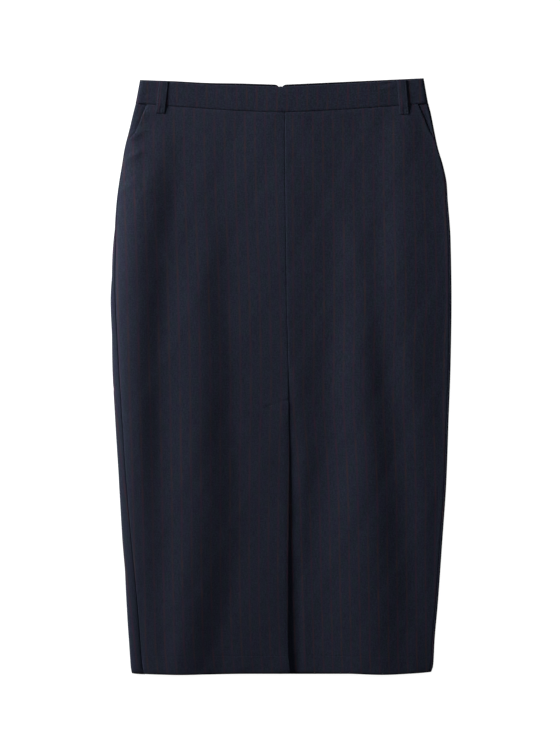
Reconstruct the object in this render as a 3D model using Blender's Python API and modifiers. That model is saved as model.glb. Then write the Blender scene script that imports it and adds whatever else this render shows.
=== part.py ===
"""Straight midi skirt with a front kick vent, laid flat on its back.

The skirt lies on the plane Z = 0 with its front up: +X to the right of someone looking
down at it, +Y towards the waist, +Z up. The origin is the middle of its footprint.
Sizes are in millimetres and become metres where points are made.

The cloth is drawn by its middle surface: at each height the skirt is cut across, and the
cut runs flat along the floor, turns round the side and comes back over the top through
the front's crests and troughs. Each cut piece follows a stretch of those sections, and
Solidify gives it its wall.
"""

import math
from collections import namedtuple
from collections.abc import Callable
from functools import lru_cache

import bmesh
import bpy
import numpy as np

MM = 0.001

# Walls and clearances
CLOTH = 1.2
BAND_CLOTH = 1.5
TAPE = 0.8
SEAM = 0.3
HALF_SEAM = SEAM / 2
HALF_SIDE_SEAM = 0.22

# How a side turn rises over the front: 1 is a round quarter, 2 a flatter one
ROLL_POWER = 1.7

# Heights of the middle of each layer above the floor
BACK_MID = CLOTH / 2
SECOND_MID = CLOTH + SEAM + CLOTH / 2
BAND_LIFT = (BAND_CLOTH - CLOTH) / 2

# Waist seam: highest at the sides, dipping to the middle
WAIST_SIDE_Y = 355.2
WAIST_DIP = 11.8
WAIST_HALF_WIDTH = 189.0
WAIST_POWER = 1.4
BACK_RISE = 2.0
WAIST_FADE_Y = 230.0

# Top edge of the waistband
TOP_MIDDLE_Y = 379.75
TOP_SLOPE_LEFT = 0.034
TOP_SLOPE_RIGHT = 0.046
BACK_SHOWS = 3.1
BACK_SHOWS_AT_SIDE = 1.0
TOP_SIDE_Y = 386.0

# Hem
HEM_Y = -387.3
HEM_LIFT = 1.0
HEM_FADE_Y = -300.0
HEM_CREST_DROP = 1.0
HEM_CREST_HALF_WIDTH = 45.0
HEM_CORNER_RISE_LEFT = 0.4
HEM_CORNER_RISE_RIGHT = 3.0
HEM_CORNER_POWER = 10
BACK_HEM_SHOWS = 1.3
HEM_HALF_WIDTH = 196.0

# Centre back: seam, zip and the rounded ends of the waistband
BACK_MIDDLE_X = -1.0
BAND_END_GAP = 1.2
BAND_END_RADIUS = 6.0
ZIP_WIDTH = 22.0
ZIP_TOP_Y = 366.0
ZIP_BOTTOM_Y = 150.0
SLIDER_WIDTH = 4.4
SLIDER_LENGTH = 11.2
SLIDER_THICKNESS = 1.6
SLIDER_BEVEL = 0.5

# Vent: the right front runs under the left front below this height
VENT_TOP_Y = -28.0
UNDERLAP_WIDTH = 30.0
UNDERLAP_SLANT = 13.0

# Pockets
FACING_UNDER_FRONT = 16.0
FACING_TOP_Y = 355.2
FACING_BOTTOM_Y = 242.0
LAYER_DROP = 1.25 * (CLOTH + SEAM)
TANGENT_REACH = 0.5

# Belt loops
LOOP_WIDTH = 11.7
LOOP_STANDS_OFF = 0.5
LOOP_END_FLAT = 0.12
LOOP_RISE_SHARE = 0.2
LOOP_ABOVE_TOP = 0.9

# Grid densities
BODY_ROWS = 24
FRONT_COLUMNS = 24
UNDERLAP_COLUMNS = 3
BACK_FLAT_COLUMNS = 5
BACK_TURN_COLUMNS = 4
BACK_LAP_COLUMNS = 3
BAND_COLUMNS = 32
BAND_ROWS = 2
BAND_END_COLUMNS = 4
BAND_FLAT_COLUMNS = 5
FACING_COLUMNS = 4
FACING_ROWS = 10
LOOP_COLUMNS = 2
LOOP_ROWS = 12
END_CROWDING = 0.6
SIDE_CROWDING = 2.0


class Stations:
    """A short table along the skirt, read on a smooth curve through its rows."""

    def __init__(self, columns: str, *rows: tuple[float, ...]) -> None:
        table = np.array(rows)
        self.record = namedtuple("Station", columns)
        self.y = table[:, 0]
        self.values = table[:, 1:]
        self.slopes = self.level_slopes()

    def level_slopes(self) -> np.ndarray:
        """Return a slope for each row that never carries the curve past a row's value."""
        rise = np.diff(self.values, axis=0) / np.diff(self.y)[:, None]
        slopes = np.vstack((rise[:1], rise))
        before, after = rise[:-1], rise[1:]
        same_way = before * after > 0
        total = np.where(same_way, before + after, 1.0)
        slopes[1:-1] = np.where(same_way, 2 * before * after / total, 0.0)
        return slopes

    def at(self, y: float) -> tuple:
        """Return the named columns at a height, held level past either end."""
        y = min(max(y, self.y[0]), self.y[-1])
        low = min(int(np.searchsorted(self.y, y, side="right")) - 1, len(self.y) - 2)
        step = self.y[low + 1] - self.y[low]
        t = (y - self.y[low]) / step
        start = (1 + 2 * t) * (1 - t) ** 2 * self.values[low]
        end = t * t * (3 - 2 * t) * self.values[low + 1]
        leaving = t * (1 - t) ** 2 * step * self.slopes[low]
        arriving = -t * t * (1 - t) * step * self.slopes[low + 1]
        return self.record(*(start + end + leaving + arriving))


# The outline: how far left and right the skirt reaches at each height
OUTLINE = Stations(
    "left right",
    (-387.0, -194.7, 195.0),
    (-380.0, -196.5, 197.4),
    (-343.0, -198.8, 199.4),
    (-291.0, -201.9, 203.8),
    (-213.0, -207.0, 209.4),
    (-135.0, -212.3, 214.7),
    (-57.0, -216.8, 217.5),
    (21.0, -220.3, 220.3),
    (99.0, -222.3, 221.4),
    (177.0, -218.8, 220.3),
    (229.0, -214.5, 216.8),
    (250.0, -211.9, 215.4),
    (273.0, -207.9, 210.7),
    (296.0, -204.1, 203.9),
    (320.0, -198.1, 198.9),
    (343.0, -192.7, 194.3),
    (355.0, -189.7, 191.2),
    (387.0, -183.6, 185.1),
)

# The side turns: how far in the roll reaches, the height it turns at, its top
LEFT_ROLL = Stations(
    "reach turn top",
    (-387.0, 15.3, 4.2, 8.0),
    (-291.0, 19.3, 3.4, 8.4),
    (-187.0, 24.3, 2.7, 9.5),
    (-83.0, 28.3, 2.2, 10.9),
    (21.0, 31.3, 2.1, 11.7),
    (125.0, 33.3, 2.1, 11.7),
    (229.0, 33.3, 2.1, 10.5),
    (262.0, 28.3, 2.1, 8.3),
    (296.0, 18.3, 2.1, 6.4),
    (325.0, 10.0, 2.1, 4.7),
    (355.0, 4.2, 2.1, 3.6),
)
RIGHT_ROLL = Stations(
    "reach turn top",
    (-387.0, 1.9, 7.4, 10.4),
    (-291.0, 1.9, 7.0, 9.8),
    (-187.0, 1.9, 6.8, 9.6),
    (-83.0, 1.9, 6.6, 9.4),
    (21.0, 1.9, 6.2, 9.0),
    (125.0, 1.9, 5.8, 8.6),
    (229.0, 1.8, 4.2, 6.8),
    (262.0, 1.8, 3.4, 5.6),
    (296.0, 1.8, 2.7, 4.6),
    (325.0, 2.2, 2.3, 4.0),
    (355.0, 3.5, 2.1, 3.6),
)

# Crests and troughs of the front, from the left side to the right
LEFT_SHOULDER = Stations(
    "x z",
    (-387.0, -179.0, 8.6),
    (-291.0, -176.0, 8.8),
    (-187.0, -181.0, 9.8),
    (-83.0, -186.0, 11.2),
    (21.0, -188.0, 11.9),
    (125.0, -186.0, 11.8),
    (229.0, -177.0, 10.6),
    (296.0, -166.0, 6.9),
    (325.0, -160.0, 4.9),
    (355.0, -178.0, 3.6),
)
LEFT_TROUGH = Stations(
    "x z",
    (-387.0, -158.0, 9.4),
    (-291.0, -160.0, 8.8),
    (-187.0, -157.0, 8.7),
    (-83.0, -153.0, 8.3),
    (21.0, -150.0, 7.8),
    (125.0, -139.0, 6.7),
    (229.0, -128.0, 5.3),
    (296.0, -126.0, 4.5),
    (355.0, -130.0, 3.6),
)
LEFT_RIDGE = Stations(
    "x z",
    (-387.0, -133.0, 11.2),
    (-291.0, -123.0, 12.0),
    (-187.0, -114.0, 11.8),
    (-83.0, -111.0, 11.2),
    (21.0, -111.0, 10.4),
    (125.0, -109.0, 8.1),
    (229.0, -108.0, 5.5),
    (296.0, -108.0, 4.4),
    (355.0, -110.0, 3.6),
)
INNER_LEFT_TROUGH = Stations(
    "x z",
    (-387.0, -72.0, 6.5),
    (-291.0, -60.0, 5.9),
    (-187.0, -47.0, 5.1),
    (-83.0, -54.0, 4.9),
    (21.0, -58.0, 4.8),
    (125.0, -62.0, 4.0),
    (229.0, -66.0, 3.9),
    (355.0, -75.0, 3.6),
)
CENTRE_FRONT = Stations(
    "x z",
    (-387.0, 11.4, 6.2),
    (-343.0, 8.9, 6.2),
    (-250.0, 9.2, 5.8),
    (-187.0, 9.9, 5.4),
    (-100.0, 10.6, 5.2),
    (-28.0, 9.6, 4.9),
    (34.0, 7.9, 4.6),
    (99.0, 6.4, 4.6),
    (164.0, 5.4, 4.5),
    (229.0, 4.5, 4.4),
    (281.0, 4.2, 4.3),
    (355.0, 4.0, 4.2),
)
INNER_RIGHT_TROUGH = Stations(
    "x z",
    (-387.0, 27.0, 3.5),
    (-291.0, 27.0, 3.5),
    (-187.0, 36.0, 3.6),
    (-83.0, 55.0, 3.6),
    (21.0, 56.0, 3.8),
    (125.0, 60.0, 3.9),
    (229.0, 66.0, 3.8),
    (355.0, 70.0, 3.6),
)
RIGHT_RIDGE = Stations(
    "x z",
    (-387.0, 132.0, 12.6),
    (-291.0, 123.0, 12.2),
    (-187.0, 120.0, 11.7),
    (-83.0, 113.0, 10.0),
    (21.0, 110.0, 9.0),
    (125.0, 108.0, 7.1),
    (229.0, 100.0, 4.5),
    (296.0, 96.0, 3.9),
    (355.0, 92.0, 3.6),
)
RIGHT_TROUGH = Stations(
    "x z",
    (-387.0, 168.0, 11.7),
    (-291.0, 170.0, 9.7),
    (-187.0, 162.0, 8.7),
    (-83.0, 147.0, 7.6),
    (21.0, 134.0, 7.7),
    (125.0, 121.0, 6.9),
    (229.0, 119.0, 4.9),
    (296.0, 122.0, 4.3),
    (355.0, 128.0, 3.6),
)
RIGHT_SHOULDER = Stations(
    "x z",
    (-387.0, 186.0, 10.8),
    (-291.0, 190.0, 10.1),
    (-187.0, 190.0, 9.8),
    (-83.0, 184.0, 9.8),
    (21.0, 172.0, 10.1),
    (125.0, 163.0, 9.5),
    (229.0, 160.0, 7.4),
    (296.0, 163.0, 6.1),
    (325.0, 157.0, 5.0),
    (355.0, 176.0, 3.6),
)
CREASES = (
    LEFT_SHOULDER,
    LEFT_TROUGH,
    LEFT_RIDGE,
    INNER_LEFT_TROUGH,
    CENTRE_FRONT,
    INNER_RIGHT_TROUGH,
    RIGHT_RIDGE,
    RIGHT_TROUGH,
    RIGHT_SHOULDER,
)

# Side seams: how far in from the outline the back comes round on to the front
LEFT_SEAM = Stations(
    "inset",
    (-387.0, 15.6),
    (-291.0, 13.9),
    (-239.0, 12.3),
    (-161.0, 10.4),
    (-31.0, 9.1),
    (34.0, 7.8),
    (88.0, 6.3),
    (160.0, 3.5),
    (229.0, 1.3),
    (296.0, 0.8),
    (387.0, 0.8),
)
RIGHT_SEAM = Stations(
    "inset",
    (-387.0, 2.5),
    (200.0, 2.5),
    (250.0, 1.6),
    (296.0, 0.8),
    (387.0, 0.8),
)

# Slanted pocket edges: how far in from the outline each front is cut away
LEFT_POCKET = Stations(
    "inset",
    (233.0, 1.3),
    (250.0, 2.4),
    (273.0, 3.8),
    (296.0, 5.9),
    (319.0, 8.7),
    (345.0, 12.7),
    (355.0, 14.1),
)
RIGHT_POCKET = Stations(
    "inset",
    (233.0, 1.4),
    (250.0, 1.9),
    (275.0, 2.6),
    (300.0, 4.0),
    (325.0, 6.8),
    (345.0, 10.6),
    (355.0, 12.4),
)
FACING_EDGE = Stations(
    "inset",
    (242.0, 9.0),
    (265.0, 6.0),
    (290.0, 1.8),
    (355.0, 1.8),
)

# The right front beside the vent: the height of its edge, and how far the dip reaches
VENT_DIP = Stations(
    "edge reach",
    (-387.0, 2.6, 24.0),
    (-343.0, 2.6, 23.0),
    (-291.0, 2.9, 22.0),
    (-240.0, 2.8, 22.0),
    (-187.0, 2.9, 24.0),
    (-135.0, 3.2, 24.0),
    (-83.0, 3.5, 24.0),
    (-28.0, 3.2, 16.0),
    (14.0, 4.5, 5.0),
)

# Belt loops: middle of the upper end and of the lower end
LoopPlace = namedtuple("LoopPlace", "top_x bottom_x bottom_y")
LOOPS = {
    "belt_loop_left": LoopPlace(-154.5, -157.6, 342.4),
    "belt_loop_right": LoopPlace(159.3, 161.0, 340.9),
}

Point = tuple[float, float, float]


def ease(t: float) -> float:
    """Return 0 below 0 and 1 above 1, with a smooth rise between."""
    t = min(max(t, 0.0), 1.0)
    return (1 - math.cos(math.pi * t)) / 2


def crowded(t: float) -> float:
    """Return a fraction of the way across, with columns closer at both ends."""
    return t - END_CROWDING * math.sin(2 * math.pi * t) / (2 * math.pi)


def sided(t: float) -> float:
    """Return a fraction of the way across, with columns closer at the start."""
    return t**SIDE_CROWDING


def waist_y(x: float) -> float:
    """Return the front waist seam's height at x."""
    return WAIST_SIDE_Y - WAIST_DIP * (1 - (abs(x) / WAIST_HALF_WIDTH) ** WAIST_POWER)


def back_waist_y(x: float) -> float:
    """Return the back waist seam's height at x, a little above the front's."""
    return waist_y(x) + BACK_RISE * (1 - (x / WAIST_HALF_WIDTH) ** 2)


def back_top_y(x: float) -> float:
    """Return the height of the back waistband's top edge, before its ends are rounded."""
    slope = TOP_SLOPE_LEFT if x < 0 else TOP_SLOPE_RIGHT
    return TOP_MIDDLE_Y + slope * abs(x)


def front_top_y(x: float) -> float:
    """Return the height of the front waistband's top edge, which lets the back show."""
    at_side = (x / WAIST_HALF_WIDTH) ** 2
    return back_top_y(x) - BACK_SHOWS + (BACK_SHOWS - BACK_SHOWS_AT_SIDE) * at_side


def rounded_top_y(x: float) -> float:
    """Return the back waistband's top edge with its ends rounded at the zip."""
    past_end = BAND_END_RADIUS - (abs(x - BACK_MIDDLE_X) - BAND_END_GAP)
    if past_end <= 0:
        return back_top_y(x)
    height = math.sqrt(max(BAND_END_RADIUS**2 - past_end**2, 0.0))
    return back_top_y(x) - BAND_END_RADIUS + height


def hem_y(x: float) -> float:
    """Return the front hem's height at x: lower over the two ridges, higher at corners."""
    drop = 0.0
    for ridge in (LEFT_RIDGE, RIGHT_RIDGE):
        away = abs(x - ridge.at(HEM_Y).x) / HEM_CREST_HALF_WIDTH
        drop += HEM_CREST_DROP * (1 - ease(away))
    rise = HEM_CORNER_RISE_LEFT if x < 0 else HEM_CORNER_RISE_RIGHT
    corner = rise * (abs(x) / HEM_HALF_WIDTH) ** HEM_CORNER_POWER
    return HEM_Y + HEM_LIFT - drop + corner


def back_hem_y(x: float) -> float:
    """Return the back hem's height at x, just below the front's between the sides."""
    return hem_y(x) - BACK_HEM_SHOWS * (1 - (x / HEM_HALF_WIDTH) ** 4)


def body_y(level: float, x: float, top: Callable, bottom: Callable) -> float:
    """Return a panel point's height: its level, bent near the ends to both edges."""
    to_waist = ease((level - WAIST_FADE_Y) / (WAIST_SIDE_Y - WAIST_FADE_Y))
    to_hem = ease((HEM_FADE_Y - level) / (HEM_FADE_Y - HEM_Y))
    to_top = to_waist * (top(x) - HALF_SEAM - WAIST_SIDE_Y)
    return level + to_top + to_hem * (bottom(x) - HEM_Y)


class Section:
    """The laid skirt cut across at one level."""

    def __init__(self, level: float) -> None:
        self.level = level
        outline = OUTLINE.at(level)
        self.edges = {-1: outline.left + BACK_MID, 1: outline.right - BACK_MID}
        self.rolls = {-1: LEFT_ROLL.at(level), 1: RIGHT_ROLL.at(level)}
        knots = [(line.at(level).x, line.at(level).z) for line in CREASES]
        left_end = self.edges[-1] + self.rolls[-1].reach
        right_end = self.edges[1] - self.rolls[1].reach
        knots.insert(0, (min(left_end, knots[0][0] - SEAM), self.rolls[-1].top))
        knots.append((max(right_end, knots[-1][0] + SEAM), self.rolls[1].top))
        self.knots = knots

    def front_z(self, x: float) -> float:
        """Return the height of the front's middle surface between the side rolls."""
        if x <= self.knots[0][0]:
            return self.knots[0][1]
        for (x0, z0), (x1, z1) in zip(self.knots, self.knots[1:]):
            if x <= x1:
                return z0 + (z1 - z0) * ease((x - x0) / (x1 - x0))
        return self.knots[-1][1]

    def turn(self, side: int, s: float) -> tuple[float, float]:
        """Return the point a length s along the cloth from where it turns at a side.

        Positive lengths come over the front, negative ones go under along the back.
        """
        roll = self.rolls[side]
        rise = roll.top - roll.turn if s >= 0 else roll.turn - BACK_MID
        reach = roll.reach if s >= 0 else rise
        radius = (reach + rise) / 2
        angle = min(abs(s) / radius, math.pi / 2)
        inward = reach * (1 - math.cos(angle)) + max(0.0, abs(s) - radius * math.pi / 2)
        x = self.edges[side] - side * inward
        if s < 0:
            return x, roll.turn - rise * math.sin(angle)
        if angle < math.pi / 2:
            return x, roll.turn + rise * math.sin(angle) ** ROLL_POWER
        return x, self.front_z(x)

    def length_to(self, side: int, inset: float) -> float:
        """Return the length along the front from a side's turn to an inset from it."""
        roll = self.rolls[side]
        radius = (roll.reach + roll.top - roll.turn) / 2
        if inset < roll.reach:
            return radius * math.acos(1 - inset / roll.reach)
        return radius * math.pi / 2 + inset - roll.reach


@lru_cache(maxsize=None)
def section_at(level: float) -> Section:
    """Return the section at a level, worked out once."""
    return Section(level)


def cloth_object(
    name: str,
    columns: int,
    rows: int,
    place: Callable[[float, float], Point],
    wall: float,
    material: bpy.types.Material,
    trim: Callable[[float, float], bool] | None = None,
) -> bpy.types.Object:
    """Make one cut piece: a grid laid on its middle surface and given its wall.

    Args:
        name: The piece's name.
        columns: Faces across.
        rows: Faces from the lower edge to the upper edge.
        place: Gives a point in millimetres for fractions across and up.
        wall: The cloth's thickness.
        material: The piece's material.
        trim: Says which faces, by their middle's fractions, are cut away.

    Returns:
        The new object, linked to the parts collection.
    """
    mesh = bpy.data.meshes.new(name)
    grid = bmesh.new()
    bmesh.ops.create_grid(grid, x_segments=columns, y_segments=rows, size=0.5)
    if trim:
        waste = []
        for face in grid.faces:
            middle = face.calc_center_median()
            if trim(middle.x + 0.5, middle.y + 0.5):
                waste.append(face)
        bmesh.ops.delete(grid, geom=waste, context="FACES")
    for vertex in grid.verts:
        x, y, z = place(vertex.co.x + 0.5, vertex.co.y + 0.5)
        vertex.co = (x * MM, y * MM, z * MM)
    grid.normal_update()
    if sum(face.normal.z * face.calc_area() for face in grid.faces) < 0:
        bmesh.ops.reverse_faces(grid, faces=grid.faces)
    grid.to_mesh(mesh)
    grid.free()
    mesh.shade_smooth()
    piece = bpy.data.objects.new(name, mesh)
    solidify = piece.modifiers.new("wall", "SOLIDIFY")
    solidify.thickness = wall * MM
    solidify.offset = 0.0
    solidify.use_even_offset = True
    mesh.materials.append(material)
    bpy.data.collections[PARTS].objects.link(piece)
    return piece


def surface_material(
    name: str, colour: tuple[float, float, float], roughness: float, metallic: float
) -> bpy.types.Material:
    """Make a plain Principled material."""
    material = bpy.data.materials.new(name)
    material.use_nodes = True
    shader = material.node_tree.nodes["Principled BSDF"]
    shader.inputs["Base Color"].default_value = (*colour, 1.0)
    shader.inputs["Roughness"].default_value = roughness
    shader.inputs["Metallic"].default_value = metallic
    material.diffuse_color = (*colour, 1.0)
    return material


def front_inset(side: int, level: float) -> float:
    """Return how far in from the turn a front starts: at its pocket or its side seam."""
    seam = (LEFT_SEAM if side < 0 else RIGHT_SEAM).at(level).inset
    pocket = (LEFT_POCKET if side < 0 else RIGHT_POCKET).at(level).inset
    return max(seam, pocket) if level > LEFT_POCKET.y[0] else seam


def front_length_span(side: int, section: Section) -> tuple[float, float]:
    """Return where a front starts and ends, as lengths from its side's turn."""
    start = section.length_to(side, front_inset(side, section.level)) + HALF_SIDE_SEAM
    middle_x = CENTRE_FRONT.at(section.level).x
    to_middle = abs(section.edges[side] - middle_x) - HALF_SEAM
    return start, section.length_to(side, to_middle)


def make_front_left(material: bpy.types.Material) -> None:
    """Make the left front: from the side seam and pocket to the vent's upper edge."""

    def place(across: float, up: float) -> Point:
        section = section_at(HEM_Y + up * (WAIST_SIDE_Y - HEM_Y))
        start, end = front_length_span(-1, section)
        x, z = section.turn(-1, start + (end - start) * crowded(across))
        return x, body_y(section.level, x, waist_y, hem_y), z

    cloth_object("front_panel_left", FRONT_COLUMNS, BODY_ROWS, place, CLOTH, material)


def make_front_right(material: bpy.types.Material) -> None:
    """Make the right front with the underlap that runs below the left front."""
    columns = FRONT_COLUMNS + UNDERLAP_COLUMNS
    lap_share = UNDERLAP_COLUMNS / columns
    vent_row = round(BODY_ROWS * (VENT_TOP_Y - HEM_Y) / (WAIST_SIDE_Y - HEM_Y))
    vent_up = vent_row / BODY_ROWS

    def level_at(up: float) -> float:
        if up <= vent_up:
            return HEM_Y + (VENT_TOP_Y - HEM_Y) * up / vent_up
        return VENT_TOP_Y + (WAIST_SIDE_Y - VENT_TOP_Y) * (up - vent_up) / (1 - vent_up)

    def place(across: float, up: float) -> Point:
        section = section_at(level_at(up))
        start, end = front_length_span(1, section)
        dip = VENT_DIP.at(section.level)
        middle = CENTRE_FRONT.at(section.level)
        edge_x = middle.x + HALF_SEAM
        if across < lap_share - 1e-6:
            under = (lap_share - across) / lap_share
            slant = UNDERLAP_SLANT * under * (up >= vent_up - 1e-6)
            x = edge_x - UNDERLAP_WIDTH * under
            return x, body_y(section.level, x, waist_y, hem_y) - slant, dip.edge
        main = (across - lap_share) / (1 - lap_share)
        x, z = section.turn(1, start + (end - start) * crowded(1 - main))
        if section.level < VENT_DIP.y[-1]:
            sunk = 1 - ease((x - edge_x) / dip.reach)
            z -= (middle.z - dip.edge) * sunk
        return x, body_y(section.level, x, waist_y, hem_y), z

    def trim(across: float, up: float) -> bool:
        return across < lap_share and up > vent_up

    cloth_object("front_panel_right", columns, BODY_ROWS, place, CLOTH, material, trim)


def make_back(name: str, side: int, material: bpy.types.Material) -> None:
    """Make one back panel: flat on the floor, then round its side to the seam."""
    columns = BACK_FLAT_COLUMNS + BACK_TURN_COLUMNS + BACK_LAP_COLUMNS
    seam = LEFT_SEAM if side < 0 else RIGHT_SEAM

    def place(across: float, up: float) -> Point:
        section = section_at(HEM_Y + up * (WAIST_SIDE_Y - HEM_Y))
        quarter = (section.rolls[side].turn - BACK_MID) * math.pi / 2
        middle = BACK_MIDDLE_X + side * HALF_SEAM
        flat = abs(section.edges[side] - middle) - quarter * 2 / math.pi
        column = across * columns
        if column <= BACK_FLAT_COLUMNS:
            s = -quarter - flat * (1 - column / BACK_FLAT_COLUMNS)
        elif column <= BACK_FLAT_COLUMNS + BACK_TURN_COLUMNS:
            s = -quarter * (1 - (column - BACK_FLAT_COLUMNS) / BACK_TURN_COLUMNS)
        else:
            end = section.length_to(side, seam.at(section.level).inset) - HALF_SIDE_SEAM
            s = end * (column - BACK_FLAT_COLUMNS - BACK_TURN_COLUMNS) / BACK_LAP_COLUMNS
        x, z = section.turn(side, s)
        return x, body_y(section.level, x, back_waist_y, back_hem_y), z

    cloth_object(name, columns, BODY_ROWS, place, CLOTH, material)


def band_level(up: float) -> float:
    """Return the level of the side turns for a fraction of the waistband's height."""
    return WAIST_SIDE_Y + up * (TOP_SIDE_Y - WAIST_SIDE_Y)


def make_band_front(material: bpy.types.Material) -> None:
    """Make the one-piece front waistband between the side seams."""

    def place(across: float, up: float) -> Point:
        section = section_at(band_level(up))
        side = -1 if across < 0.5 else 1
        seam = LEFT_SEAM if side < 0 else RIGHT_SEAM
        start = section.length_to(side, seam.at(section.level).inset) + HALF_SIDE_SEAM
        end = section.length_to(side, abs(section.edges[side]))
        from_side = across if side < 0 else 1 - across
        x, z = section.turn(side, start + (end - start) * sided(from_side * 2))
        low = waist_y(x) + HALF_SEAM
        return x, low + up * (front_top_y(x) - low), z + BAND_LIFT

    cloth_object("waistband_front", BAND_COLUMNS, BAND_ROWS, place, BAND_CLOTH, material)


def make_band_back(name: str, side: int, material: bpy.types.Material) -> None:
    """Make one back waistband, from its rounded end at the zip to the side seam."""
    seam = LEFT_SEAM if side < 0 else RIGHT_SEAM
    columns = BAND_END_COLUMNS + BAND_FLAT_COLUMNS + BACK_TURN_COLUMNS

    def place(across: float, up: float) -> Point:
        section = section_at(band_level(up))
        quarter = (section.rolls[side].turn - BACK_MID) * math.pi / 2
        end_x = BACK_MIDDLE_X + side * BAND_END_GAP
        flat = abs(section.edges[side] - end_x) - quarter * 2 / math.pi
        past_end = flat - BAND_END_RADIUS
        column = across * columns
        if column <= BAND_END_COLUMNS:
            angle = column / BAND_END_COLUMNS * math.pi / 2
            s = -quarter - past_end - BAND_END_RADIUS * math.cos(angle)
        elif column <= BAND_END_COLUMNS + BAND_FLAT_COLUMNS:
            share = (column - BAND_END_COLUMNS) / BAND_FLAT_COLUMNS
            s = -quarter - past_end * (1 - share)
        else:
            share = (column - BAND_END_COLUMNS - BAND_FLAT_COLUMNS) / BACK_TURN_COLUMNS
            end = section.length_to(side, seam.at(section.level).inset) - HALF_SIDE_SEAM
            s = -quarter + (quarter + end) * share
        x, z = section.turn(side, s)
        low = back_waist_y(x) + HALF_SEAM
        return x, low + up * (rounded_top_y(x) - low), z + BAND_LIFT

    cloth_object(name, columns, BAND_ROWS, place, BAND_CLOTH, material)


def make_pocket_facing(name: str, side: int, material: bpy.types.Material) -> None:
    """Make the facing that shows inside a slanted pocket, below the front's edge."""
    pocket = LEFT_POCKET if side < 0 else RIGHT_POCKET

    def place(across: float, up: float) -> Point:
        section = section_at(FACING_BOTTOM_Y + up * (FACING_TOP_Y - FACING_BOTTOM_Y))
        outer = FACING_EDGE.at(section.level).inset
        inner = pocket.at(section.level).inset + FACING_UNDER_FRONT
        inset = outer + (inner - outer) * across
        s = section.length_to(side, inset)
        x, over = section.turn(side, s)
        x_out, z_out = section.turn(side, s - TANGENT_REACH)
        x_in, z_in = section.turn(side, s + TANGENT_REACH)
        slope = math.atan2(z_in - z_out, abs(x_in - x_out))
        x -= side * LAYER_DROP * math.sin(slope)
        z = max(SECOND_MID, over - LAYER_DROP * math.cos(slope))
        return x, body_y(section.level, x, waist_y, hem_y), z

    cloth_object(name, FACING_COLUMNS, FACING_ROWS, place, CLOTH, material)


def make_belt_loop(name: str, ends: LoopPlace, material: bpy.types.Material) -> None:
    """Make one belt loop: sewn down at both ends and standing off the band between."""
    top_y = front_top_y(ends.top_x) + LOOP_ABOVE_TOP
    rest = BAND_LIFT + BAND_CLOTH / 2 + SEAM + CLOTH / 2

    def place(across: float, up: float) -> Point:
        middle_x = ends.bottom_x + (ends.top_x - ends.bottom_x) * up
        x = middle_x + (across - 0.5) * LOOP_WIDTH
        y = ends.bottom_y + (top_y - ends.bottom_y) * up
        arch = ease((min(up, 1 - up) - LOOP_END_FLAT) / LOOP_RISE_SHARE)
        z = section_at(ends.bottom_y).front_z(x) + rest + LOOP_STANDS_OFF * arch
        return x, y, z

    cloth_object(name, LOOP_COLUMNS, LOOP_ROWS, place, CLOTH, material)


def block(name: str, low: Point, high: Point, bevel: float) -> bpy.types.Object:
    """Make a box between two corners, with bevelled edges where a bevel is given."""
    mesh = bpy.data.meshes.new(name)
    cube = bmesh.new()
    bmesh.ops.create_cube(cube, size=1.0)
    size = [(b - a) * MM for a, b in zip(low, high)]
    centre = [(a + b) / 2 * MM for a, b in zip(low, high)]
    bmesh.ops.scale(cube, vec=size, verts=cube.verts)
    cube.to_mesh(mesh)
    cube.free()
    piece = bpy.data.objects.new(name, mesh)
    piece.location = centre
    if bevel:
        rounding = piece.modifiers.new("rounding", "BEVEL")
        rounding.width = bevel * MM
        rounding.segments = 2
    bpy.data.collections[PARTS].objects.link(piece)
    return piece


def make_zip(tape: bpy.types.Material, metal: bpy.types.Material) -> None:
    """Make the closed zip inside the centre back seam: its tapes and its slider."""
    low_z = BAND_CLOTH + SEAM
    left = BACK_MIDDLE_X - ZIP_WIDTH / 2
    right = BACK_MIDDLE_X + ZIP_WIDTH / 2
    tapes = block(
        "back_zip",
        (left, ZIP_BOTTOM_Y, low_z),
        (right, ZIP_TOP_Y, low_z + TAPE),
        0.0,
    )
    tapes.data.materials.append(tape)
    slider_y = ZIP_TOP_Y + SEAM
    slider = block(
        "zip_slider",
        (BACK_MIDDLE_X - SLIDER_WIDTH / 2, slider_y, low_z),
        (BACK_MIDDLE_X + SLIDER_WIDTH / 2, slider_y + SLIDER_LENGTH, low_z + SLIDER_THICKNESS),
        SLIDER_BEVEL,
    )
    slider.data.materials.append(metal)


PARTS = "straight_midi_skirt"


def main() -> None:
    """Clear the scene and build every piece."""
    for old in list(bpy.data.objects):
        bpy.data.objects.remove(old, do_unlink=True)
    parts = bpy.data.collections.new(PARTS)
    bpy.context.scene.collection.children.link(parts)
    cloth = surface_material("navy_pinstripe_wool", (0.017, 0.019, 0.031), 0.85, 0.0)
    tape = surface_material("navy_zip_tape", (0.012, 0.013, 0.022), 0.8, 0.0)
    enamel = surface_material("navy_enamelled_metal", (0.010, 0.011, 0.018), 0.4, 0.6)
    make_front_left(cloth)
    make_front_right(cloth)
    make_back("back_panel_left", -1, cloth)
    make_back("back_panel_right", 1, cloth)
    make_band_front(cloth)
    make_band_back("waistband_back_left", -1, cloth)
    make_band_back("waistband_back_right", 1, cloth)
    make_pocket_facing("pocket_facing_left", -1, cloth)
    make_pocket_facing("pocket_facing_right", 1, cloth)
    for name, ends in LOOPS.items():
        make_belt_loop(name, ends, cloth)
    make_zip(tape, enamel)


main()
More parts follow.
